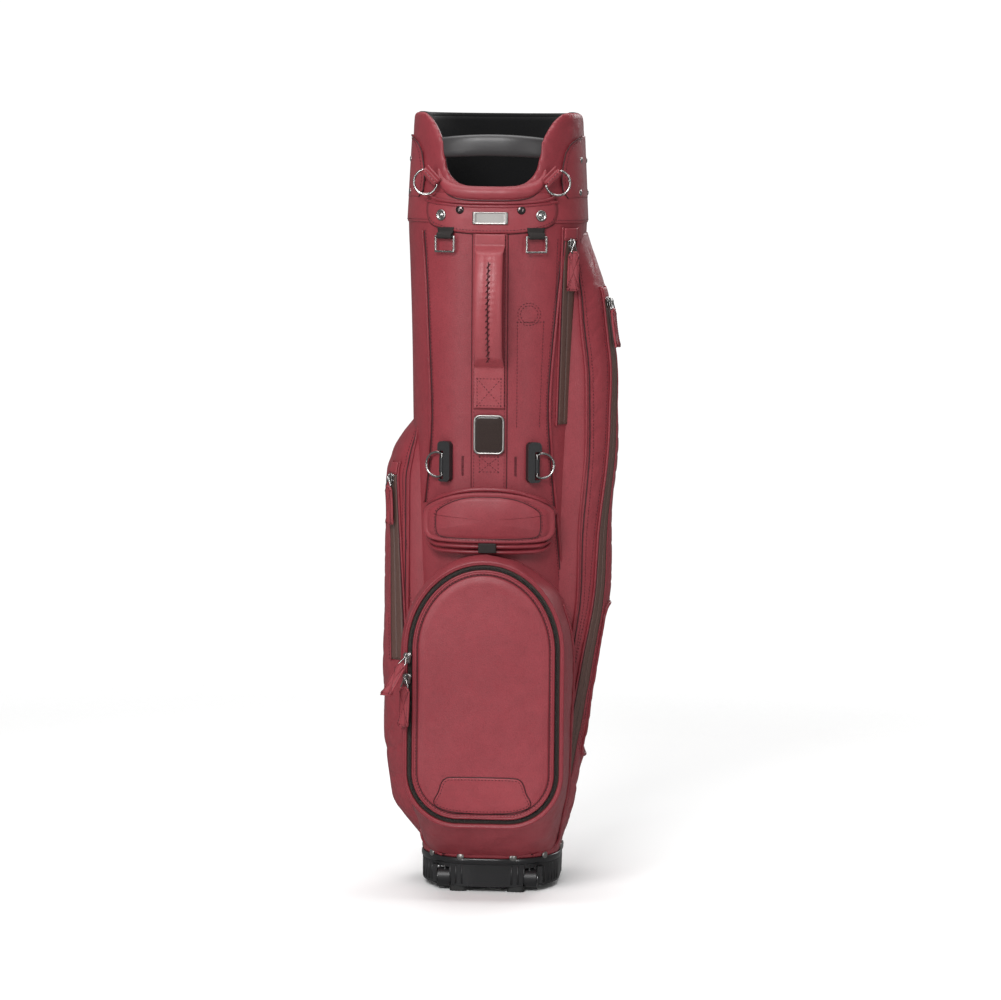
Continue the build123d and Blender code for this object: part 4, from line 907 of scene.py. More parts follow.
band_rows = []
for z in np.linspace(band_lower.z, band_upper.z, 34):
    z = float(z)
    edge = min(band_front_x(z), shape_at(z)[0] * 0.9995)
    half_width, half_depth, corner = shape_at(z)
    ring = ring_points(z, band_stand, 720, False)[:361]
    lean = np.arccos(np.clip((edge - (half_width - corner)) / corner, -1, 1))
    stop = (half_width - corner) + corner * cos(lean), -(half_depth - corner) - corner * sin(lean)
    reach = round_index(*stop, ring)
    right = [ring[min(360, round(reach * i / 90))] for i in range(91)]
    exact = resample([Vector(p) for p in ring[:reach + 1]], 91)
    row = [(-p.x, p.y, p.z) for p in reversed(exact[1:])] + [tuple(p) for p in exact]
    band_rows.append(row)
band = shell("collar_band", band_rows, band_thick, trim_leather)
settle(band, "bag", "leather", "outer_band")


def band_line(inset, low_share=0.06, high_share=0.94):
    """A line just inside the strap's front edge on the right, and its mirror image."""
    lines = []
    for side in (-1, 1):
        line = []
        for share in np.linspace(low_share, high_share, 40):
            z = mix(band_lower.z, band_upper.z, share)
            x = min(band_front_x(float(z)) + inset, shape_at(float(z))[0] - 0.0006)
            line.append(front(side * x, float(z), band_stand + 0.0002, soft=False))
        lines.append(line)
    return lines


sew("band_stitches", band_line(0.0032))
# A dark line just outside the strap's front edge: painted shade beside the raised edge, with its dyed edge.
for name, line in zip(("left", "right"), band_line(-0.0005, 0.0, 1.0)):
    dyed_edge_and_shade(f"{name}_ear_fold", line, radius=0.0007)

# ------------------------------------------------------------------ shield panel
# A crescent of leather under the lip, stitched along its lower edge. It carries a blank plated
# name plate, two ring snaps and two domed studs, and hides the tops of the tow loops.
shield_outline = [(0, 785.5), (30, 786.2), (56, 789.5), (69, 794), (73, 786), (72.5, 774), (67, 764.5),
                  (48, 758), (25, 755.2), (0, 754.4)]
shield_stand = 0.0032


def closed_outline(half_line, count=120):
    """A closed symmetric outline from its right half, top middle to bottom middle, in millimetres."""
    right = spline([(x * MM, 0, z * MM) for x, z in half_line], count // 2)
    right = [(p.x, p.z) for p in right]
    return right + [(-x, z) for x, z in reversed(right[1:-1])]


def shrink(outline, inset):
    """The outline moved inwards by a small distance."""
    line = np.array(outline)
    along = np.roll(line, -1, 0) - np.roll(line, 1, 0)
    along /= np.linalg.norm(along, axis=1)[:, None]
    inward = np.stack([-along[:, 1], along[:, 0]], 1)
    if np.sum((line.mean(0) - line) * inward) < 0:
        inward = -inward
    return [tuple(p) for p in line + inward * inset]


crescent = closed_outline(shield_outline)
shield = patch("shield_leather", crescent, lambda x, z, off: front(x, z, off, soft=False),
               lambda share: shield_stand - 0.0012 * float(smooth_step(0.93, 1, share)), trim_leather,
               rings=16, thickness=-0.0002)
settle(shield, "bag", "leather", "shield_panel")
lower_edge = [p for p in shrink(crescent, 0.0034) if p[1] < 0.772]
lower_edge.sort()
# A dark line just below the shield's lower edge: painted shadow under the raised edge, with its dyed edge.
under = sorted(p for p in shrink(crescent, -0.0003) if p[1] < 0.776)
dyed_edge_and_shade("shield_fold", [front(x, z, 0.0004, soft=False) for x, z in under], radius=0.0009)
sew("shield_stitches", [[front(x, z, shield_stand + 0.0001, soft=False) for x, z in lower_edge]])
plate_low, plate_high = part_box("name_plate")
plate_half = (plate_high.x - plate_low.x) / 2, (plate_high.z - plate_low.z) / 2
plate_z = (plate_low.z + plate_high.z) / 2


def plate_rise(share):
    """A raised border with a bevelled edge, round a slightly sunk middle."""
    bevel, sunk = float(smooth_step(0.93, 1, share)), 1 - float(smooth_step(0.80, 0.84, share))
    return 0.0017 - 0.0009 * bevel - 0.0003 * sunk


plate = patch("blank_name_plate", rounded(0, plate_z, *plate_half, 0.0016), flat_place(plate_high.y),
              plate_rise, metal, rings=24, thickness=0.0)
settle(plate, "bag", "bright_metal", "name_plate")

# ------------------------------------------------------------------ ball pocket
# A deep box pocket: a soft gusset that swells a little on its way to the body and runs down as a
# chin to the base, a piped rim, and a brown zip tape with a moulded chain inside the rim.
from_front = Vector((0, 1, 0))
rim_y = -0.158
lining, _ = grained("woven_lining", (0.014, 0.013, 0.013), 0.8, "ShaderNodeTexWave", 0.0001,
                    Scale=900.0, Distortion=0.4)


def arch_outline(half_width, low, high, rise, corner, count=240):
    """A closed outline with a round top and rounded lower corners, from the top middle clockwise."""
    spring = high - rise
    line = [(half_width * sin(a), spring + rise * cos(a)) for a in np.linspace(0, pi / 2, 50)]
    line += [(half_width - corner + corner * cos(a), low + corner - corner * sin(a))
             for a in np.linspace(0, pi / 2, 24)]
    line = resample([Vector((x, 0, z)) for x, z in line + [(0, low)]], count // 2 + 1)
    right = [(p.x, p.z) for p in line]
    return right + [(-x, z) for x, z in reversed(right[1:-1])]


def inset_patch(name, outline, place, rise, material, insets, inner=14, back=0.0):
    """A closed pad: rings step in by insets, then close on the middle; rise(inset, share) lifts them."""
    rings = [shrink(outline, step) if step else list(outline) for step in insets]
    centre = np.array(rings[-1]).mean(axis=0)
    levels = [(ring, rise(step, 1.0)) for ring, step in zip(rings, insets)]
    for i in range(1, inner):
        share = 1 - i / inner
        ring = [tuple(centre + (np.array(p) - centre) * share) for p in rings[-1]]
        levels.append((ring, rise(insets[-1], share)))
    count = len(outline)
    points = [place(x, z, back) for x, z in outline]
    for ring, off in levels:
        points += [place(x, z, off) for x, z in ring]
    faces = []
    for i in range(len(levels)):
        a, b = i * count, (i + 1) * count
        faces += [(a + j, a + (j + 1) % count, b + (j + 1) % count, b + j) for j in range(count)]
    last = len(levels) * count
    points.append(place(centre[0], centre[1], rise(insets[-1], 0.0)))
    faces += [(last + j, last + (j + 1) % count, len(points) - 1) for j in range(count)]
    points.append(place(centre[0], centre[1], back))
    faces += [((j + 1) % count, j, len(points) - 1) for j in range(count)]
    return finish_mesh(mesh_object(name, points, faces, material))


def surface_of(thing, toward=from_front):
    """A function that drops (x, z) from the front onto a piece and moves it off along the surface."""
    mesh = thing.data
    tree = BVHTree.FromPolygons([v.co.copy() for v in mesh.vertices],
                                [tuple(p.vertices) for p in mesh.polygons])

    def place(x, z, off):
        hit, normal, _, _ = tree.ray_cast(Vector((x, 0, z)) - toward * 0.5, toward)
        if hit is None:
            hit, normal, _, _ = tree.find_nearest(Vector((x, -0.16, z)))
        return hit + normal * (off if normal.dot(toward) < 0 else -off)
    return place


def closed(line):
    return list(line) + [line[0]]


ball_rim = arch_outline(0.089, 0.087, 0.387, 0.101, 0.061)
ball_root = closed_outline([(0, 389), (45, 377), (80, 340), (94, 292), (96, 230), (94, 170), (89.5, 120),
                            (84, 84), (79, 56), (72, 44), (40, 41), (0, 40.5)], len(ball_rim) + 2)
gusset_wall = 0.0021


def gusset_point(index, share):
    """A point on the gusset: index goes round the rim, share from the rim (0) to the body (1)."""
    (x0, z0), (x1, z1) = ball_rim[index], ball_root[index]
    body_y = front(min(abs(x1), 0.083) * (1 if x1 > 0 else -1), z1, -0.003, soft=False).y
    x, z = mix(x0, x1, share), mix(z0, z1, share)
    chin = float(1 - smooth_step(0.075, 0.16, mix(z0, z1, 0.5)))
    y = mix(rim_y, body_y, share ** mix(1.0, 0.9, chin))
    out = Vector((x, 0, z - 0.235 if z < 0.235 else max(0.0, z - 0.285))).normalized()
    puff = sin(pi * min(1, share * 1.04)) * mix(0.0042, 0.0022, chin)
    fold = noise.noise(Vector((x * 30, y * 16, z * 22))) * 0.0022
    fold += noise.noise(Vector((x * 75, y * 30, z * 60))) * 0.0007
    keep_rim = float(smooth_step(0.0, 0.16, share))
    place = Vector((x, y, z)) + out * (puff + fold * keep_rim)
    return place + Vector((0, -1, 0)) * chin * (fold * keep_rim + sin(pi * share) * 0.003)


rim_steps = [(0.0034, 0.0026), (0.0026, -0.0003), (0.0013, -0.0015), (0.0003, -0.0012)]
gusset_rows = [[(x, rim_y + deep, z) for x, z in shrink(ball_rim, step)] for step, deep in rim_steps]
gusset_rows += [[gusset_point(i, float(share)) for i in range(len(ball_rim))]
                for share in np.linspace(0, 1, 40)]
gusset = shell("ball_pocket_gusset", gusset_rows, gusset_wall, cover_leather, ring=True)
settle(gusset, "bag", "leather", "ball_pocket")
rim_line = [Vector((x, rim_y - 0.0002, z)) for x, z in shrink(ball_rim, -0.0004)]
rim_piping = rod_along("ball_rim_piping", rim_line, 0.0019, binding_leather, closed=True, sides=4)
settle(rim_piping, "bag", "leather")
rim_stitch = [gusset_point(i, 0.05) for i in range(len(ball_rim))]
sew("ball_rim_stitches", [closed(rim_stitch)])
# A dark line beside the rim piping: painted shade in the fold, with the dyed edge.
rim_fold = [gusset_point(i, 0.018) for i in range(len(ball_rim))]
dyed_edge_and_shade("ball_rim_fold", rim_fold, radius=0.0006, loop=True)
half_count = len(ball_rim) // 2
for side in (-1, 1):
    seam = []
    for i in range(int(half_count * 0.24), int(half_count * 0.9)):
        index = i if side > 0 else (len(ball_rim) - i) % len(ball_rim)
        down = float(smooth_step(0.55, 0.9, i / half_count))
        seam.append(gusset_point(index, mix(0.52, 0.985, down)) + Vector((side * 0.0006, -0.0012 * down, 0)))
    seam = spline(seam[::6] + [seam[-1]], 160)
    name = "right" if side > 0 else "left"
    settle(rod_along(f"gusset_{name}_piping", seam, piping_radius, binding_leather), "bag", "leather")
    # A dark line beside the gusset piping: painted shade in the fold, with the dyed edge.
    dyed_edge_and_shade(f"gusset_{name}_fold", [p + Vector((-side * 0.0016, -0.0006, 0)) for p in seam], radius=0.0007)
    sew(f"gusset_{name}_stitches", [[p + Vector((-side * 0.0028, -0.0008, 0)) for p in seam]])

tape_cloth, _ = grained("zip_tape_cloth", (0.038, 0.028, 0.022), 0.6, "ShaderNodeTexWave", 0.00012,
                        Scale=700.0, Distortion=0.3)
chain_plastic, _ = grained("zip_chain", (0.03, 0.028, 0.027), 0.35, "ShaderNodeTexNoise", 0.00005,
                           Scale=800.0, Detail=2.0)
tape_outer, tape_inner = shrink(ball_rim, 0.0026), shrink(ball_rim, 0.0112)
tape_rows = [[(mix(a[0], b[0], s), rim_y + 0.0030 - 0.0006 * sin(pi * s), mix(a[1], b[1], s))
              for a, b in zip(tape_outer, tape_inner)] for s in np.linspace(0, 1, 7)]
ball_tape = shell("ball_zip_tape", tape_rows, 0.0008, tape_cloth, ring=True)
settle(ball_tape, "bag", "zip_tape", "zip_tapes")
for row, inset in enumerate((0.0058, 0.0072)):
    chain_line = [Vector((x, rim_y + 0.0016, z)) for x, z in shrink(ball_rim, inset)]
    chain_line = resample(closed(chain_line), 500)
    chain = sew(f"ball_zip_chain_{row + 1}", [chain_line], pitch=0.0016, length=0.0011, radius=0.0009,
                thread=chain_plastic)

# ------------------------------------------------------------------ ball pocket door
# A padded lid, piped all round, with a creased groove inside its border and a stitched patch at
# its foot. It hinges at the foot when the zip is open.
door_outline = arch_outline(0.0797, 0.0963, 0.3777, 0.0917, 0.0517)
door_y = -0.1572
door_insets = [0, 0.0005, 0.0011, 0.0018, 0.0025, 0.0033, 0.0041, 0.0048, 0.0055, 0.0062, 0.0071, 0.0083,
               0.0099, 0.0119, 0.0145, 0.0175]


def door_rise(inset, share):
    border = 0.0022 * float(smooth_step(0, 0.0022, inset))
    groove = 0.0019 * float(np.exp(-((inset - 0.0050) / 0.0010) ** 2))
    pad = 0.0018 * float(smooth_step(0.0050, 0.0145, inset)) + 0.0030 * (1 - share * share)
    return border - groove + pad


def door_place(x, z, off):
    slow = noise.noise(Vector((x * 17, 4, z * 13))) * 0.0009
    return (x, door_y - off - (slow if off > 0.002 else 0), z)


door = inset_patch("ball_door_leather", door_outline, door_place, door_rise, cover_leather, door_insets,
                   20, -0.0022)
settle(door, "ball_door", "leather", "ball_door")
door_edge = [Vector((x, door_y - 0.0011, z)) for x, z in shrink(door_outline, 0.0006)]
door_piping = rod_along("ball_door_piping", door_edge, 0.0015, binding_leather, closed=True, sides=4)
settle(door_piping, "ball_door", "leather")
on_door = surface_of(door)
# A dark line in the door's groove: painted shade in the groove, with the dyed crease.
door_groove = [on_door(x, z, 0.0001) for x, z in shrink(door_outline, 0.0050)]
dyed_edge_and_shade("door_groove", door_groove, "ball_door", 0.0006, True)
door_seam = [on_door(x, z, 0.0002) for x, z in shrink(door_outline, 0.0035)]
sew("ball_door_stitches", [closed(door_seam)], "ball_door")
foot_patch = closed_outline([(0, 143.6), (34, 143.2), (42.5, 141), (46.5, 135.5), (49.5, 126), (54.5, 116),
                             (52.5, 110.5), (44, 106.5), (30, 103.6), (14, 102.8), (0, 102.6)])
patch_leather = inset_patch("ball_door_foot_patch", foot_patch, on_door,
                            lambda inset, share: 0.0011 * float(smooth_step(0, 0.0009, inset)) + 0.0001,
                            trim_leather, [0, 0.0003, 0.0006, 0.001, 0.002], 8, -0.0004)
settle(patch_leather, "ball_door", "leather")
# A dark line just outside the raised patch: painted shade at its edge, with the dyed edge.
patch_edge = [on_door(x, z, 0.0002) for x, z in shrink(foot_patch, -0.0003)]
dyed_edge_and_shade("foot_patch_edge", patch_edge, "ball_door", 0.0006, True)
patch_seam = [on_door(x, z, 0.0013) for x, z in shrink(foot_patch, 0.0024)]
sew("foot_patch_stitches", [closed(patch_seam)], "ball_door")

# ------------------------------------------------------------------ flap pocket
# A small valuables pocket. A thick piped welt arches over it; the padded flap hangs from the welt
# over two rolled pipings, and a webbing tab sits at the middle of its lower edge.
pocket_outline = closed_outline([(0, 466), (20, 465.4), (46, 456.5), (62, 446.5), (70.5, 439), (70.5, 425),
                                 (69, 410), (63, 399), (50, 393.5), (25, 391.6), (0, 391.2)])
pocket_insets = [0, 0.0006, 0.0014, 0.0024, 0.0036, 0.005, 0.0066, 0.0085, 0.011, 0.014]


def on_body(x, z, off):
    return front(x, z, off, soft=False)


def pocket_rise(inset, share):
    return 0.0145 * sqrt(float(smooth_step(-0.001, 0.0125, inset))) - 0.001


valuables = inset_patch("valuables_pocket", pocket_outline, on_body, pocket_rise, cover_leather,
                        pocket_insets, 10, -0.001)
settle(valuables, "bag", "leather", "flap_pocket")
welt_stops = both_sides([(0, 465.8), (17, 465), (34, 461.5), (52, 454), (66, 444.5), (71.5, 437)])
welt_line = [front(p.x, p.z, 0.0125 - 0.008 * float(smooth_step(0.055, 0.0715, abs(p.x))), soft=False)
             for p in spline([(x * MM, 0, z * MM) for x, z in welt_stops], 140)]
welt = rod_along("pocket_welt", welt_line, 0.0026, binding_leather, sides=5)
settle(welt, "bag", "leather")
for row, (drop, stand) in enumerate(((0.0, 0.0148), (6.4, 0.0132))):
    stops = both_sides([(0, 400.8 - drop), (36, 401.2 - drop), (55, 403 - drop), (64, 409.5 - drop),
                        (67.5 - drop * 0.2, 421 - drop)])
    roll_line = [front(p.x, p.z, stand - 0.006 * float(smooth_step(0.05, 0.068, abs(p.x))), soft=False)
                 for p in spline([(x * MM, 0, z * MM) for x, z in stops], 120)]
    rolled = rod_along(f"pocket_rolled_piping_{row + 1}", roll_line, 0.0022, binding_leather, sides=5)
    settle(rolled, "bag", "leather")
flap_outline = closed_outline([(0, 462.6), (18, 462), (36, 458.6), (52, 451.5), (62.5, 443), (64.6, 434),
                               (64.4, 419), (60.5, 410), (51, 406), (28, 404.8), (0, 404.6)])
flap_stand = 0.0158
flap_insets = [0, 0.0004, 0.0009, 0.0015, 0.0024, 0.0034, 0.0043, 0.0052, 0.0062, 0.0075, 0.0095, 0.012]


def flap_rise(inset, share):
    edge = 0.0018 * float(smooth_step(0, 0.0012, inset))
    dip = 0.0009 * float(np.exp(-((inset - 0.0052) / 0.0012) ** 2))
    pad = 0.0014 * float(smooth_step(0.005, 0.012, inset))
    return flap_stand + edge - dip + pad + 0.0022 * (1 - share * share)


def flap_place(x, z, off):
    slow = noise.noise(Vector((x * 24, 8, z * 34))) * 0.0012
    return front(x, z, off + (slow if off > flap_stand + 0.001 else 0), soft=False)


flap = inset_patch("pocket_flap_leather", flap_outline, flap_place, flap_rise, cover_leather,
                   flap_insets, 14, flap_stand - 0.0002)
settle(flap, "pocket_flap", "leather", "pocket_flap")
on_flap = surface_of(flap)
# A dark line in the flap's groove: painted shade in the groove, with the dyed crease.
flap_groove = [on_flap(x, z, 0.0001) for x, z in shrink(flap_outline, 0.0052)]
dyed_edge_and_shade("flap_groove", flap_groove, "pocket_flap", 0.00055, True)
flap_seam_top = 0.4535                  # above this the lifted flap folds back on the welt
under_flap = [on_body(x, z, flap_stand - 0.0008) for x, z in shrink(flap_outline, 0.0004)
              if z < flap_seam_top]
dyed_edge_and_shade("flap_shadow_edge", under_flap, "pocket_flap", 0.0008)
flap_seam = [on_flap(x, z, 0.0002) for x, z in shrink(flap_outline, 0.0036) if z < flap_seam_top]
sew("pocket_flap_stitches", [flap_seam], "pocket_flap")
webbing, _ = grained("webbing", (0.017, 0.013, 0.012), 0.75, "ShaderNodeTexWave", 0.0003,
                     Scale=330.0, Distortion=0.5, bands_direction="Z")
tab_outline = rounded(0, 0.3995, 0.0102, 0.0055, 0.0012)
tab = patch("pocket_tab_webbing", tab_outline, on_body,
            lambda share: 0.0206 - 0.0006 * float(smooth_step(0.9, 1, share)), webbing, rings=8,
            thickness=-0.0188)
settle(tab, "pocket_flap", "black_plastic", "flap_tab")

# ------------------------------------------------------------------ side pockets
# Two soft pockets stand off the bag's sides like half barrels. The leather hangs in slow upright
# folds with sharper creases low down. The right one has an open slip pocket with a piped rim.
side_front_y, side_rear_y = -0.066, 0.058
edge_sink = 0.003
zip_lean, zip_level = 0.047, 0.39       # the right zip leans this much per metre, about this height
side_pockets = {
    "right": dict(side=1, zip=(-0.036, 0.090, 0.683), low=0.046, high=0.755, reach=0.142,
                  shares=(0, 0.05, 0.2, 0.33, 0.41, 0.53, 0.65, 0.78, 0.905, 1.0),
                  full=(0.0, 0.2, 0.5, 0.7, 0.85, 0.85, 1.0, 0.98, 0.65, 0.06)),
    "left": dict(side=-1, zip=(-0.047, 0.262, 0.478), low=0.048, high=0.54, reach=0.134,
                 shares=(0, 0.04, 0.09, 0.23, 0.42, 0.875, 0.93, 0.97, 1.0),
                 full=(0.0, 0.3, 0.66, 0.87, 0.93, 0.86, 0.62, 0.3, 0.0))}
slip_centre, slip_half, slip_round = (0.0, 0.238), (0.024, 0.088), 0.018


def soft_profile(pocket, z):
    """How full the pocket is at height z, smoothed over a few centimetres."""
    share = (z - pocket["low"]) / (pocket["high"] - pocket["low"])
    window = np.clip(share + np.linspace(-0.03, 0.03, 9) * min(1, 4 * min(share + 0.02, 1.02 - share)), 0, 1)
    return float(np.mean(np.interp(window, pocket["shares"], pocket["full"])))


def pocket_circle(pocket, z):
    """Centre and radius of the pocket's plan curve at height z, and the y span."""
    half_width, half_depth, corner = shape_at(z)
    out = half_width + (pocket["reach"] - half_width) * soft_profile(pocket, z)
    ends = []
    for y in (side_front_y, side_rear_y):
        over = sqrt(corner ** 2 - max(0.0, abs(y) - half_depth + corner) ** 2)
        ends.append((half_width - corner + over - edge_sink, y))
    middle = (side_front_y + side_rear_y) / 2
    (ax, ay), (cx, cy) = ends
    bx, by = out, middle
    d = 2 * (ax * (by - cy) + bx * (cy - ay) + cx * (ay - by))
    sa, sb, sc = ax * ax + ay * ay, bx * bx + by * by, cx * cx + cy * cy
    ux = (sa * (by - cy) + sb * (cy - ay) + sc * (ay - by)) / d
    uy = (sa * (cx - bx) + sb * (ax - cx) + sc * (bx - ax)) / d
    return ux, uy, hypot(ax - ux, ay - uy), ends


def slip_depth(y, z):
    """Signed distance inside the slip pocket's rounded outline."""
    dx = abs(y - slip_centre[0]) - (slip_half[0] - slip_round)
    dz = abs(z - slip_centre[1]) - (slip_half[1] - slip_round)
    return slip_round - hypot(max(dx, 0), max(dz, 0)) - min(max(dx, dz), 0)


def pocket_fold(pocket, y, z):
    """The leather's folds: how far it stands out or in at a place."""
    seed = 3.0 * pocket["side"]
    slow = noise.noise(Vector((y * 24 + seed, z * 6.5, seed))) * 0.0034
    drape = noise.noise(Vector((y * 55, z * 17 + seed, 2.0))) * 0.0013
    low = float(1 - smooth_step(0.12, 0.34, z)) * 0.8 + 0.2
    ridge = 1 - abs(noise.noise(Vector((z * 19 + y * 9, y * 12 - z * 4, seed + 5)))) * 2
    crease = max(0.0, ridge) ** 7 * 0.0024 * low
    small = max(0.0, 1 - abs(noise.noise(Vector((z * 48 - y * 30, y * 40, seed)))) * 2.4) ** 6 * 0.0008
    calm = float(smooth_step(side_front_y, side_front_y + 0.016, y))
    calm *= 1 - float(smooth_step(side_rear_y - 0.016, side_rear_y, y))
    ends = float(smooth_step(pocket["low"], pocket["low"] + 0.02, z))
    ends *= 1 - float(smooth_step(pocket["high"] - 0.03, pocket["high"], z))
    zip_y, zip_low, zip_high = pocket["zip"]
    lean = zip_lean * (z - zip_level) if pocket["side"] > 0 else 0.0
    by_zip = float(np.exp(-((y - zip_y - lean) / 0.016) ** 2))
    by_zip *= float(smooth_step(zip_low - 0.03, zip_low, z) * (1 - smooth_step(zip_high, zip_high + 0.03, z)))
    return (slow * (1 - 0.5 * by_zip) + (drape - crease - small) * (1 - 0.85 * by_zip)) * calm * ends


def pocket_point(key, z, y, off=0.0, folds=True):
    pocket = side_pockets[key]
    ux, uy, radius, _ = pocket_circle(pocket, z)
    x = ux + sqrt(max(1e-9, radius ** 2 - (y - uy) ** 2))
    normal = Vector((x - ux, y - uy, 0)).normalized()
    off += pocket_fold(pocket, y, z) if folds else 0
    place = Vector((x, y, z)) + normal * off
    return Vector((place.x * pocket["side"], place.y, place.z))


def pocket_skin(key, levels, count):
    pocket = side_pockets[key]
    rows = []
    for z in np.linspace(pocket["low"], pocket["high"], levels):
        z = float(z)
        ux, uy, radius, ends = pocket_circle(pocket, z)
        start, stop = (atan2(y - uy, x - ux) for x, y in ends)
        row = []
        for a in np.linspace(start, stop, count):
            x, y = ux + radius * cos(a), uy + radius * sin(a)
            push = pocket_fold(pocket, y, z)
            if key == "right":
                inside = slip_depth(y, z)
                mouth = float(smooth_step(0.2165, 0.2115, z)) * float(smooth_step(0.001, 0.004, inside))
                push += 0.0012 * float(np.exp(-(inside / 0.004) ** 2))
                push -= 0.0075 * float(smooth_step(0.0, 0.0045, inside)) + 0.006 * mouth
            row.append(((x + cos(a) * push) * pocket["side"], y + sin(a) * push, z))
        rows.append(row)
    return rows


for key, levels, count in (("right", 270, 118), ("left", 190, 100)):
    thing = shell(f"{key}_pocket_leather", pocket_skin(key, levels, count), 0.0021, cover_leather)
    settle(thing, "bag", "leather", f"{key}_pocket")
    low, high = side_pockets[key]["low"], side_pockets[key]["high"]
    front_edge = [pocket_point(key, float(z), side_front_y + 0.0065, 0.0008, False)
                  for z in np.linspace(low + 0.006, high - 0.006, 150)]
    settle(rod_along(f"{key}_pocket_piping", front_edge, piping_radius, binding_leather), "bag", "leather")
    # A dark line in the fold beside the pocket's piping: painted shade, with the dyed edge.
    fold = [pocket_point(key, float(z), side_front_y + 0.0088, 0.0001)
            for z in np.linspace(low + 0.008, high - 0.008, 150)]
    dyed_edge_and_shade(f"{key}_pocket_fold", fold)
    seam = [pocket_point(key, float(z), side_front_y + 0.0115, 0.0002)
            for z in np.linspace(low + 0.01, high - 0.01, 150)]
    sew(f"{key}_pocket_stitches", [seam])
mouth_low, mouth_high, mouth_deep = 0.1551, 0.2112, 0.0131
mouth = rounded(0, (mouth_low + mouth_high) / 2, 0.0188, (mouth_high - mouth_low) / 2, 0.011)
slip_lining = patch("slip_pocket_lining", mouth,
                    lambda y, z, off: pocket_point("right", z, y, off - mouth_deep),
                    lambda share: 0.0004, lining, thickness=0.0003)
settle(slip_lining, "bag", "lining")


def round_slip(grow, corner, off):
    """A line round the slip pocket, outside its outline by grow."""
    around = rounded(*slip_centre, slip_half[0] + grow, slip_half[1] + grow, corner, 10, 12)
    return [pocket_point("right", z, y, off) for y, z in around]


slip_piping = rod_along("slip_pocket_piping", round_slip(0.0012, slip_round + 0.001, 0.0010), 0.0021,
                        binding_leather, closed=True, sides=4)
settle(slip_piping, "bag", "leather")
sew("slip_pocket_stitches", [closed(round_slip(0.0062, slip_round + 0.006, 0.0002))])

# ------------------------------------------------------------------ zips
# Coated brown tape with a reverse coil: two flat lips meet over the teeth. Each tape lies between
# two fine pipings, under a stitched leather garage at its top.
coated_tape, coat_tree, coat_shader = plain_material("coated_zip_tape", (0.085, 0.043, 0.034), 0.42)
coat_grain = texture(coat_tree, "ShaderNodeTexNoise", Scale=650.0, Detail=3.0)
coat_tones = [(0.3, (0.07, 0.034, 0.027)), (0.7, (0.1, 0.052, 0.042))]
coat_tree.links.new(ramp(coat_tree, coat_grain.outputs["Fac"], coat_tones), coat_shader.inputs["Base Color"])
add_bump(coat_tree, coat_shader, coat_grain.outputs["Fac"], 0.00008)


def zip_tape(name, point_at, low, high, half=0.0062, piping_gap=0.0018):
    """Tape, edge pipings and garage along point_at(z, across, off)."""
    shares = (-1, -0.7, -0.4, -0.2, -0.1, -0.04, 0, 0.04, 0.1, 0.2, 0.4, 0.7, 1)
    lift = [0.0017 - 0.0011 * float(np.exp(-(u / 0.07) ** 2)) + 0.0003 * abs(u) for u in shares]
    rows = [[point_at(float(z), half * u, off) for u, off in zip(shares, lift)]
            for z in np.linspace(low, high, max(40, int((high - low) / 0.003)))]
    settle(shell(name, rows, 0.0012, coated_tape), "bag", "zip_tape")
    for side_name, side in (("near", -1), ("far", 1)):
        edge = [point_at(float(z), side * (half + piping_gap), 0.0012)
                for z in np.linspace(low - 0.002, high + 0.014, 110)]
        settle(rod_along(f"{name}_{side_name}_piping", edge, 0.0014, binding_leather), "bag", "leather")
        # A dark line along each edge of the tape: painted shade in the fold, with the dyed edge.
        fold = [point_at(float(z), side * (half + 0.0002), 0.0013) for z in np.linspace(low, high, 110)]
        dyed_edge_and_shade(f"{name}_{side_name}_fold", fold, radius=0.0007)
        seam = [point_at(float(z), side * (half + piping_gap + 0.0042), 0.0002)
                for z in np.linspace(low, high, 110)]
        sew(f"{name}_{side_name}_stitches", [seam])
    garage_rows = [[point_at(float(z), (half + 0.0006) * u, 0.0032) for u in np.linspace(-1, 1, 9)]
                   for z in np.linspace(high - 0.001, high + 0.013, 9)]
    settle(shell(f"{name}_garage", garage_rows, 0.0016, trim_leather), "bag", "leather")
    foot_seam = [point_at(high + 0.0012, (half - 0.0004) * u, 0.0034) for u in np.linspace(-1, 1, 12)]
    sew(f"{name}_garage_stitches", [foot_seam])


def zip_line(low, high, y_low, y_high):
    return lambda z: mix(y_low, y_high, (z - low) / (high - low))


right_zip_y = zip_line(0.090, 0.683, -0.050, -0.022)
left_zip_y = zip_line(0.262, 0.478, -0.052, -0.042)
upper_zip_angle = radians(57)


def upper_zip_point(z, across, off):
    half_width, _, corner = shape_at(z)
    return front(half_width - corner + corner * sin(upper_zip_angle) + across, z, off, soft=False)


zip_tape("right_zip_tape", lambda z, across, off: pocket_point("right", z, right_zip_y(z) + across, off),
         0.090, 0.680)
zip_tape("left_zip_tape", lambda z, across, off: pocket_point("left", z, left_zip_y(z) + across, off),
         0.262, 0.477)
zip_tape("upper_zip_tape", upper_zip_point, 0.538, 0.748, 0.0058)

# Sliders are cast and plated, with a bridge that carries a triangular bail; on each bail hangs a
# leather pull, folded over the bail, glued and stitched round its edge.
joints = {joint["name"]: joint for joint in frame["joints"]}
nickel = plated("nickel", (0.43, 0.42, 0.41), 0.2, 0.16, 0.3, 300.0, 3.0)


def zip_frame(name):
    """The slider's own frame: X across, Y up the track, Z outwards, origin on the tape."""
    slide, hinge = joints[f"{name}_slide"], joints[f"{name}_pull_hinge"]
    up, across = -Vector(slide["axis"]), -Vector(hinge["axis"])
    out = across.cross(up).normalized()
    turn = Matrix((across, up, out)).transposed().to_4x4()
    pin_height = 0.006
    return Matrix.Translation(Vector(hinge["pos_m"]) - out * pin_height) @ turn, pin_height


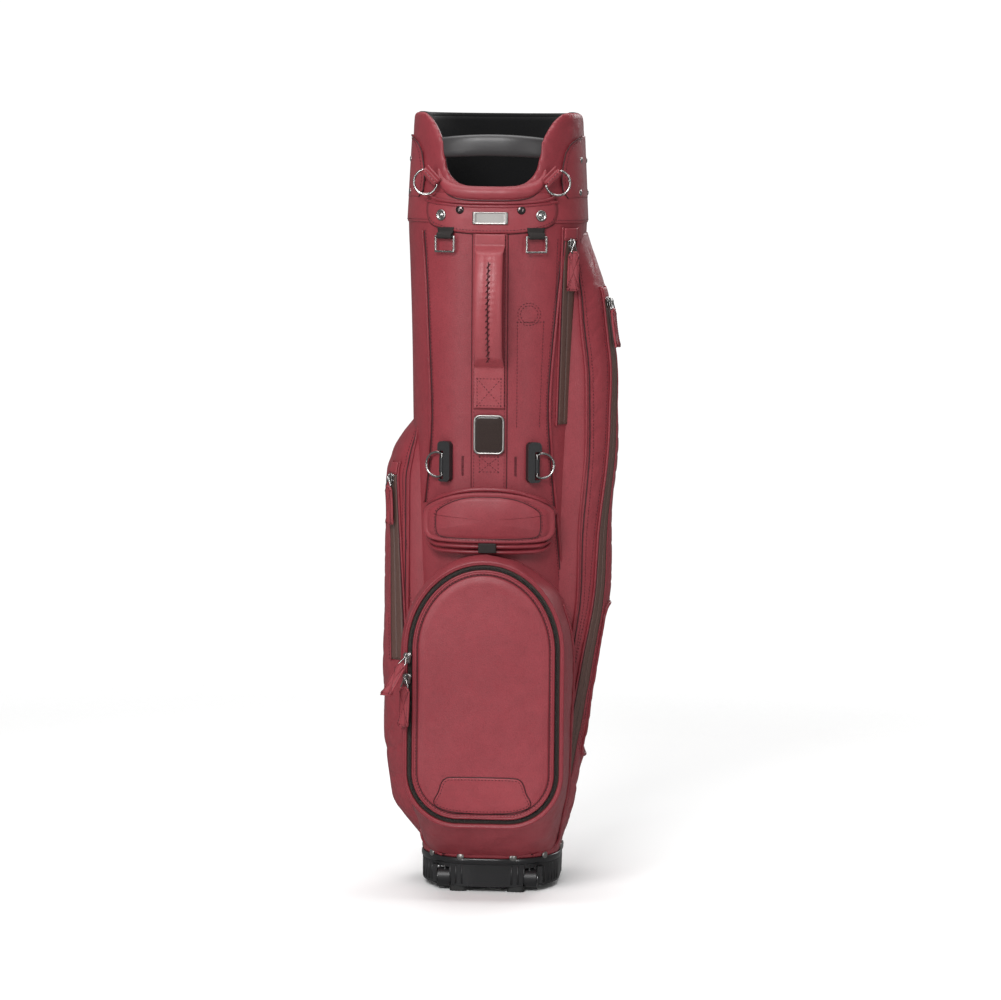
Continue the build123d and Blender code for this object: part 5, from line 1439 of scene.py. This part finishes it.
def merge(name, things, material=None):
    """Joins plain meshes into one object."""
    shape = bmesh.new()
    for thing in things:
        shape.from_mesh(thing.data)
        if material is None:
            material = thing.data.materials[0]
    mesh = bpy.data.meshes.new(name)
    shape.to_mesh(mesh)
    shape.free()
    for thing in things:
        bpy.data.objects.remove(thing)
    made = bpy.data.objects.new(name, mesh)
    bpy.context.scene.collection.objects.link(made)
    mesh.materials.append(material)
    return finish_mesh(made)


slider_outline = [(0, 6.0), (2.6, 6.0), (4.0, 5.0), (4.3, 2.6), (3.4, -1.0), (3.0, -4.4), (2.0, -6.0),
                  (0, -6.0)]
bail_corners = [(-0.9, 1.0), (0.9, 1.0), (4.9, -8.4), (4.1, -9.6), (-4.1, -9.6), (-4.9, -8.4)]
pull_outline = [(0, -8.2), (3.6, -8.4), (4.6, -9.4), (6.6, -13.6), (6.75, -16), (6.75, -50), (6.3, -52.4),
                (4.8, -53), (0, -53)]


def zip_slider(name, tilt=0.0, twist=0.0):
    place, pin = zip_frame(name)
    pieces = []
    for low, high in ((0.0002, 0.0013), (0.0022, 0.0036)):
        outline = closed_outline(slider_outline, 40)
        pieces.append(patch(f"{name}_plate_{low}", outline, lambda x, y, off, base=high: (x, y, base + off),
                            lambda share: -0.0004 * float(smooth_step(0.8, 1, share)), nickel, 6, high - low))
    core = [Vector((0, 0.0052, 0.0018)), Vector((0, -0.0048, 0.0018))]
    pieces.append(rod_along(f"{name}_core", core, 0.0014, nickel))
    bridge = [Vector((0, 0.0046 - 0.0086 * t, 0.0034 + 0.0036 * sin(pi * t) ** 0.6))
              for t in np.linspace(0, 1, 24)]
    pieces.append(rod_along(f"{name}_bridge", bridge, 0.00085, nickel))
    slider = merge(f"{name}_cast_slider", pieces, nickel)
    slider.data.transform(place)
    settle(slider, f"{name}_slider", "bright_metal", f"{name}_slider")
    hang = place @ Matrix.Translation((0, 0, pin)) @ Matrix.Rotation(radians(tilt), 4, "X")
    bail_line = resample([Vector((x * MM, y * MM, 0)) for x, y in bail_corners + bail_corners[:1]], 61)[:60]
    bail = rod_along(f"{name}_bail", bail_line, 0.00085, nickel, closed=True)
    bail.data.transform(hang)
    settle(bail, f"{name}_pull", "bright_metal")
    outline = closed_outline(pull_outline, 110)

    def pull_place(x, y, off):
        return (x, y, off + 0.0010 * sin((y + 0.008) * 60))

    def pull_rise(inset, share):
        edge = 0.0014 * sqrt(float(smooth_step(-0.0002, 0.0009, inset)))
        return edge + 0.0003 * float(smooth_step(0.0019, 0.003, inset))

    def pull_back(x, y, off):
        return (-x, y, -(off + 0.0010 * sin(-(y + 0.008) * 60)))

    insets = [0, 0.0003, 0.0007, 0.0012, 0.0018, 0.0024, 0.003]
    halves = [inset_patch(f"{name}_pull_face", outline, pull_place, pull_rise, trim_leather, insets, 6, 0.0),
              inset_patch(f"{name}_pull_rear", outline, pull_back, pull_rise, trim_leather, insets, 6, 0.0)]
    fold_line = [Vector((x, -0.0096, 0)) for x in np.linspace(-0.0036, 0.0036, 8)]
    fold = rod_along(f"{name}_pull_fold", fold_line, 0.0019, trim_leather)
    pull = merge(f"{name}_leather_pull", halves + [fold], trim_leather)
    turned = hang @ Matrix.Rotation(radians(twist), 4, "Y")
    pull.data.transform(turned)
    settle(pull, f"{name}_pull", "leather", f"{name}_pull")
    edge = [turned @ Vector(pull_place(x, y, 0.0018)) for x, y in shrink(outline, 0.0019)]
    sew(f"{name}_pull_stitches", [closed(edge)], f"{name}_pull", pitch=0.0026, length=0.0019, radius=0.00028)


zip_slider("right_zip")
zip_slider("left_zip")
zip_slider("upper_zip", twist=-38)
zip_slider("ball_zip_upper", tilt=-45)
zip_slider("ball_zip_lower", tilt=-4)

# ------------------------------------------------------------------ collar skirt and lining
# A stitched strip of leather closes the joint between body and collar, and short-pile fleece
# covers the inside of the collar down past the divider grid.
skirt_low, skirt_high = 0.7665, 0.8
skirt_rows = []
for z in np.linspace(skirt_low, skirt_high, 26):
    stand = 0.0007 + 0.0007 * float(smooth_step(skirt_low, skirt_low + 0.002, z))
    skirt_rows.append(ring_points(float(z), stand, 240, False))
settle(shell("collar_skirt", skirt_rows, 0.0016, trim_leather, ring=True), "bag", "leather")
skirt_seam = [Vector(p) for p in ring_points(skirt_low + 0.0034, 0.0016, 480, False)]
sew("collar_skirt_stitches", [closed(skirt_seam)])
fleece, fleece_tree, fleece_shader = plain_material("black_fleece", (0.0075, 0.0075, 0.008), 0.95)
pile = texture(fleece_tree, "ShaderNodeTexNoise", Scale=900.0, Detail=3.0)
nap = texture(fleece_tree, "ShaderNodeTexNoise", Scale=60.0, Detail=3.0)
pile_height = sum_heights(fleece_tree, (pile.outputs["Fac"], 0.6), (nap.outputs["Fac"], 1.2))
add_bump(fleece_tree, fleece_shader, pile_height, 0.0007)
fleece_shader.inputs["Sheen Weight"].default_value = 0.12
fleece_shader.inputs["Specular IOR Level"].default_value = 0.15
fleece_lining = ring_solid("collar_fleece", 0.762, rim_z - 0.004, -foam_thickness - 0.0028,
                           -foam_thickness + 0.0006, count=200, levels=30)
fleece_cut = spline([(x * MM, 0, (z - 1.5) * MM) for x, z in notch_side], 40)
fleece_notch = prism("fleece_notch", both_sides([(p.x, p.z) for p in fleece_cut]), -0.3, -0.02)
fleece_lining = combine(fleece_lining, fleece_notch)
fleece_lining.data.materials.append(fleece)
finish_mesh(fleece_lining)
settle(fleece_lining, "bag", "fleece")
fleece_rim = ring_solid("collar_fleece_rim", rim_z - 0.006, rim_z + 0.0006, -foam_thickness - 0.0024,
                        -0.0034, 200, 6)
rim_front = prism("rim_front", [(-0.2, 0.7), (0.2, 0.7), (0.2, 1.0), (-0.2, 1.0)], -0.3, -0.03)
fleece_rim = combine(fleece_rim, rim_front)
fleece_rim = round_over(fleece_rim, 0.0018, 4)
fleece_rim.data.materials.append(fleece)
settle(finish_mesh(fleece_rim), "bag", "fleece")


def softened(node_name, name, voxel, rounds, material, slot_name):
    """A soft copy of a CAD node: its hard edges melt away."""
    thing = bpy.data.objects.new(name, frame["nodes"][node_name].data.copy())
    bpy.context.scene.collection.objects.link(thing)
    thing.data.materials.clear()
    thing = round_over(thing, voxel, rounds)
    thing.data.materials.append(material)
    finish_mesh(thing)
    return settle(thing, "bag", slot_name, node_name)


softened("divider_grid", "fleece_divider_grid", 0.0022, 6, fleece, "fleece")
softened("floor_pad", "floor_pad_foam", 0.0022, 4, lining, "lining")
panel_low, panel_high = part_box("divider_panels")
half_panel = 0.0008
panel_pieces = []
for name, y in (("front", -0.034), ("rear", 0.038)):
    rows = []
    for z in np.linspace(panel_low.z, panel_high.z, 90):
        half_width, half_depth, corner = shape_at(float(z))
        reach = half_width - corner + sqrt(corner ** 2 - max(0, abs(y) - half_depth + corner) ** 2) - 0.0082
        rows.append([(x, y + half_panel + 0.0009 * noise.noise(Vector((x * 25, y * 9, z * 14))), float(z))
                     for x in np.linspace(-reach, reach, 30)])
    panel_pieces.append(shell(f"{name}_divider", rows, 2 * half_panel, lining))
middle_rows = [[(half_panel, y, float(z)) for y in np.linspace(-0.0325, 0.0365, 14)]
               for z in np.linspace(panel_low.z, panel_high.z, 60)]
panel_pieces.append(shell("middle_divider", middle_rows, 2 * half_panel, lining))
settle(merge("divider_sheets", panel_pieces, lining), "bag", "lining", "divider_panels")

# ------------------------------------------------------------------ lift handle
# A moulded rubber bar across the opening, bowed upwards and outwards; its ends run into the foam.
rubber_grip, _ = grained("rubber_grip", (0.031, 0.029, 0.03), 0.38, "ShaderNodeTexNoise", 0.00012,
                         Scale=1500.0, Detail=2.0)
lift_low, lift_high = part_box("lift_handle")
lift_z = (lift_low.z + lift_high.z) / 2
lift_half_height, lift_half_thick, lift_sides = 0.0118, 0.0062, 32
lift_rows = []
for x in np.linspace(-0.0585, 0.0585, 70):
    x = float(x)
    bow = 1 - (x / 0.054) ** 2
    centre = front(x, lift_z, -0.0100, soft=False)
    swell_up = 1 + 0.05 * bow
    ring = []
    for i in range(lift_sides):
        a = 2 * pi * i / lift_sides
        c, s = cos(a), sin(a)
        across = lift_half_thick * abs(c) ** 0.72 * (1 if c > 0 else -1)
        up = lift_half_height * swell_up * abs(s) ** 0.62 * (1 if s > 0 else -1)
        ring.append((x, centre.y + across, lift_z + 0.0026 * bow - 0.001 + up))
    lift_rows.append(ring)
lift_bar = grid_object("lift_handle_grip", lift_rows, rubber_grip, ring=True)
settle(close_ends(lift_bar, lift_sides), "bag", "black_plastic", "lift_handle")

# ------------------------------------------------------------------ small fittings
# Turned and stamped fittings: domed rivets, ring snaps with a ball, dark domed studs.
dark_nickel = plated("dark_nickel", (0.12, 0.1, 0.1), 0.24, 0.19, 0.3, 300.0, 3.0)


def lathe(name, profile, seats, material, sides=28):
    """A profile of (radius, height) in millimetres turned about each seat's normal, merged."""
    points, faces = [], []
    for origin, normal in seats:
        origin, normal = Vector(origin), Vector(normal).normalized()
        across = normal.cross(Vector((0, 0, 1))).normalized()
        up = normal.cross(across)
        start = len(points)
        for radius, height in profile:
            for i in range(sides):
                a = 2 * pi * i / sides
                points.append(origin + (across * cos(a) + up * sin(a)) * radius * MM + normal * height * MM)
        for r in range(len(profile) - 1):
            a, b = start + r * sides, start + (r + 1) * sides
            faces += [(a + j, a + (j + 1) % sides, b + (j + 1) % sides, b + j) for j in range(sides)]
        faces.append(tuple(start + i for i in range(sides)))
        faces.append(tuple(start + (len(profile) - 1) * sides + i for i in reversed(range(sides))))
    return finish_mesh(mesh_object(name, points, faces, material))


def dome(radius, height, steps=7):
    return [(radius * 0.9, -0.6), (radius, 0.0)] + [(radius * cos(a), height * sin(a))
                                                     for a in np.linspace(0.12, pi / 2 - 0.08, steps)]


def front_seat(x, z, off):
    here = front(x, z, off, soft=False)
    return here, (front(x, z, off + 0.01, soft=False) - here)


def side_seat(x, y, z, off):
    """A seat on the bag's outside nearest to a place, at height z."""
    half_width, half_depth, corner = shape_at(z)
    core = Vector((np.clip(x, corner - half_width, half_width - corner),
                   np.clip(y, corner - half_depth, half_depth - corner), z))
    normal = (Vector((x, y, z)) - core).normalized()
    return core + normal * (corner + off), normal


def island_centres(node_name):
    """The middle of each separate solid of a CAD node."""
    shape = bmesh.new()
    shape.from_mesh(frame["nodes"][node_name].data)
    bmesh.ops.remove_doubles(shape, verts=shape.verts, dist=1e-5)
    left, centres = set(shape.verts), []
    while left:
        stack, group = [left.pop()], []
        while stack:
            vertex = stack.pop()
            group.append(vertex.co.copy())
            for edge in vertex.link_edges:
                other = edge.other_vert(vertex)
                if other in left:
                    left.remove(other)
                    stack.append(other)
        low = Vector([min(p[i] for p in group) for i in range(3)])
        high = Vector([max(p[i] for p in group) for i in range(3)])
        centres.append((low + high) / 2)
    shape.free()
    return centres


snap_ring = [(4.6, -0.4), (6.3, 0.0), (6.5, 0.6), (6.0, 1.3), (5.2, 1.5), (4.4, 1.1), (4.0, 0.5), (3.4, 0.4),
             (2.6, 0.5), (2.3, 1.1), (1.7, 1.7), (0.9, 2.0), (0.2, 2.1)]
snap_seats = [front_seat(side * 0.055, 0.775, shield_stand) for side in (-1, 1)]
settle(lathe("ring_snaps", snap_ring, snap_seats, nickel), "bag", "bright_metal", "snap_studs")
stud_seats = [front_seat(side * 0.034, 0.7812, shield_stand) for side in (-1, 1)]
settle(lathe("domed_studs", dome(4.9, 2.0), stud_seats, dark_nickel), "bag", "bright_metal")
band_seats = [side_seat(p.x, p.y, p.z, band_stand) for p in island_centres("band_rivets")]
settle(lathe("band_domed_rivets", dome(3.5, 1.3), band_seats, nickel), "bag", "bright_metal", "band_rivets")
base_seats = [side_seat(p.x, p.y, p.z + 0.0058, 0.0002) for p in island_centres("base_rivets")]
settle(lathe("base_domed_rivets", dome(4.4, 1.9), base_seats, metal), "bag", "bright_metal", "base_rivets")


def joint_frame(name):
    """A ring's own frame at rest: X along its bar, Z outwards from the bag."""
    joint = joints[name]
    across = -Vector(joint["axis"])
    out = Vector(joint["pos_m"]) - Vector((0, joint["pos_m"][1] + 0.05, joint["pos_m"][2]))
    out = (out - across * out.dot(across)).normalized()
    up = out.cross(across).normalized()
    return Matrix.Translation(Vector(joint["pos_m"])) @ Matrix((across, up, out)).transposed().to_4x4()


def folded_loop(name, joint, half_low, half_high, reach, root, material, slot_name, node_name=None,
                radius=0.0031):
    """A strap folded round a ring's bar, both tails running up to the bag."""
    place = joint_frame(joint)
    if (place.to_3x3() @ Vector((0, 1, 0))).z < 0:
        place = place @ Matrix.Rotation(pi, 4, "Z")
    path = [(reach, root), (reach * 0.55, root * 0.95), (0.0032, -radius * 1.02)]
    path += [(radius * cos(a), radius * sin(a)) for a in np.linspace(-pi / 2, -3 * pi / 2, 14)]
    path += [(0.0034, radius * 0.8), (reach * 0.5, root * 0.35), (reach, root + 0.0021)]
    path = spline([(0, y, z) for y, z in path], 46)
    rows = []
    for p in path:
        half = mix(half_low, half_high, float(np.clip(p.y / reach, 0, 1)))
        rows.append([place @ Vector((u * half, p.y, p.z)) for u in np.linspace(-1, 1, 9)])
    thing = shell(name, rows, 0.0014, material)
    nodes = (node_name,) if node_name else ()
    settle(thing, "bag", slot_name, *nodes)
    return place


for side in ("left", "right"):
    place = folded_loop(f"ring_loop_{side}", f"collar_ring_{side}_hinge", 0.0112, 0.0112, 0.0082, -0.0042,
                        trim_leather, "leather", "ring_loops" if side == "left" else None)
    seam = [place @ Vector((x, 0.0040, 0.0030)) for x in np.linspace(-0.0098, 0.0098, 14)]
    sew(f"ring_loop_{side}_stitches", [seam])
    folded_loop(f"tow_loop_{side}", f"tow_ring_{side}_hinge", 0.0092, 0.0108, 0.0105, -0.0036, webbing,
                "webbing", "tow_loops" if side == "left" else None, 0.0026)

# ------------------------------------------------------------------ moulded base
# Textured nylon with a smooth lip where the leather ends, ribbed walls, and rubber pads under it.
moulded, _ = grained("moulded_nylon", (0.013, 0.013, 0.014), 0.42, "ShaderNodeTexNoise", 0.00012,
                     Scale=1100.0, Detail=2.0)
rubber, _ = grained("moulded_rubber", (0.012, 0.012, 0.012), 0.7, "ShaderNodeTexNoise", 0.0002,
                    Scale=700.0, Detail=2.0)
steel, steel_shader = grained("drawn_steel", (0.5, 0.5, 0.51), 0.3, "ShaderNodeTexNoise", 0.00003,
                              Scale=500.0, Detail=2.0)
steel_shader.inputs["Metallic"].default_value = 1.0
painted, painted_shader = grained("painted_tube", (0.012, 0.012, 0.013), 0.3, "ShaderNodeTexNoise", 0.00004,
                                  Scale=260.0, Detail=1.0)
painted_shader.inputs["Coat Weight"].default_value = 0.3


def dress(material, *names):
    """CAD nodes that stay in view get their material."""
    for name in names:
        data = frame["nodes"][name].data
        data.materials.clear()
        data.materials.append(material)


dress(moulded, "base_tub", "foot_lever", "leg_bracket", "leg_left_hinge", "leg_right_hinge", "strap_anchors",
      "collar_frame", "frame_stays")
dress(rubber, "rubber_feet", "leg_left_foot", "leg_right_foot")
dress(steel, "lever_pins", "leg_pivots", "stand_wires")
dress(painted, "leg_left_tube", "leg_right_tube")
dress(nickel, "collar_ring_left", "collar_ring_right", "tow_ring_left", "tow_ring_right", "strap_ring_left",
      "strap_ring_right")
lip_rows = [ring_points(float(z), 0.0012 * sqrt(max(0.0, sin(pi * s))) + 0.0001, 240, False)
            for s, z in zip(np.linspace(0, 1, 9), np.linspace(0.0315, 0.0392, 9))]
settle(shell("base_lip", lip_rows, 0.0011, painted, ring=True), "bag", "black_plastic")
rib_pieces = []
for side in (-1, 1):
    for angle in range(14, 79, 6):
        seat, _ = side_seat(side * cos(radians(angle)), -sin(radians(angle)), 0.0, 0.0003)
        foot, top = Vector((seat.x, seat.y, 0.0088)), Vector((seat.x, seat.y, 0.0305))
        rib_pieces.append(rod_along("rib", [foot, top], 0.0011, moulded))
settle(merge("base_ribs", rib_pieces, moulded), "bag", "black_plastic")

# ------------------------------------------------------------------ back pad
# A slim cushion of black spacer mesh sewn to the back, where the bag rests on the hip.
spacer, _ = grained("spacer_mesh", (0.016, 0.016, 0.017), 0.85, "ShaderNodeTexVoronoi", 0.0006,
                    "Distance", Scale=420.0)
pad_low, pad_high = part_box("back_pad")
pad_x, pad_z = (pad_low.x + pad_high.x) / 2, (pad_low.z + pad_high.z) / 2
pad_half = (pad_high.x - pad_low.x) / 2, (pad_high.z - pad_low.z) / 2
pad_outline = rounded(pad_x, pad_z, *pad_half, 0.012, 10, 14)
pad_insets = [0, 0.0005, 0.001, 0.0018, 0.0028, 0.0038, 0.005, 0.0065, 0.008, 0.01]


def pad_rise(inset, share):
    return 0.0018 * float(smooth_step(0, 0.001, inset)) + 0.0075 * float(smooth_step(0.002, 0.010, inset))


back_pad = inset_patch("back_pad_cushion", pad_outline,
                       lambda x, z, off: front(x, z, off, back=True, soft=False), pad_rise, spacer, pad_insets,
                       8, 0.0003)
settle(back_pad, "bag", "back_mesh", "back_pad")
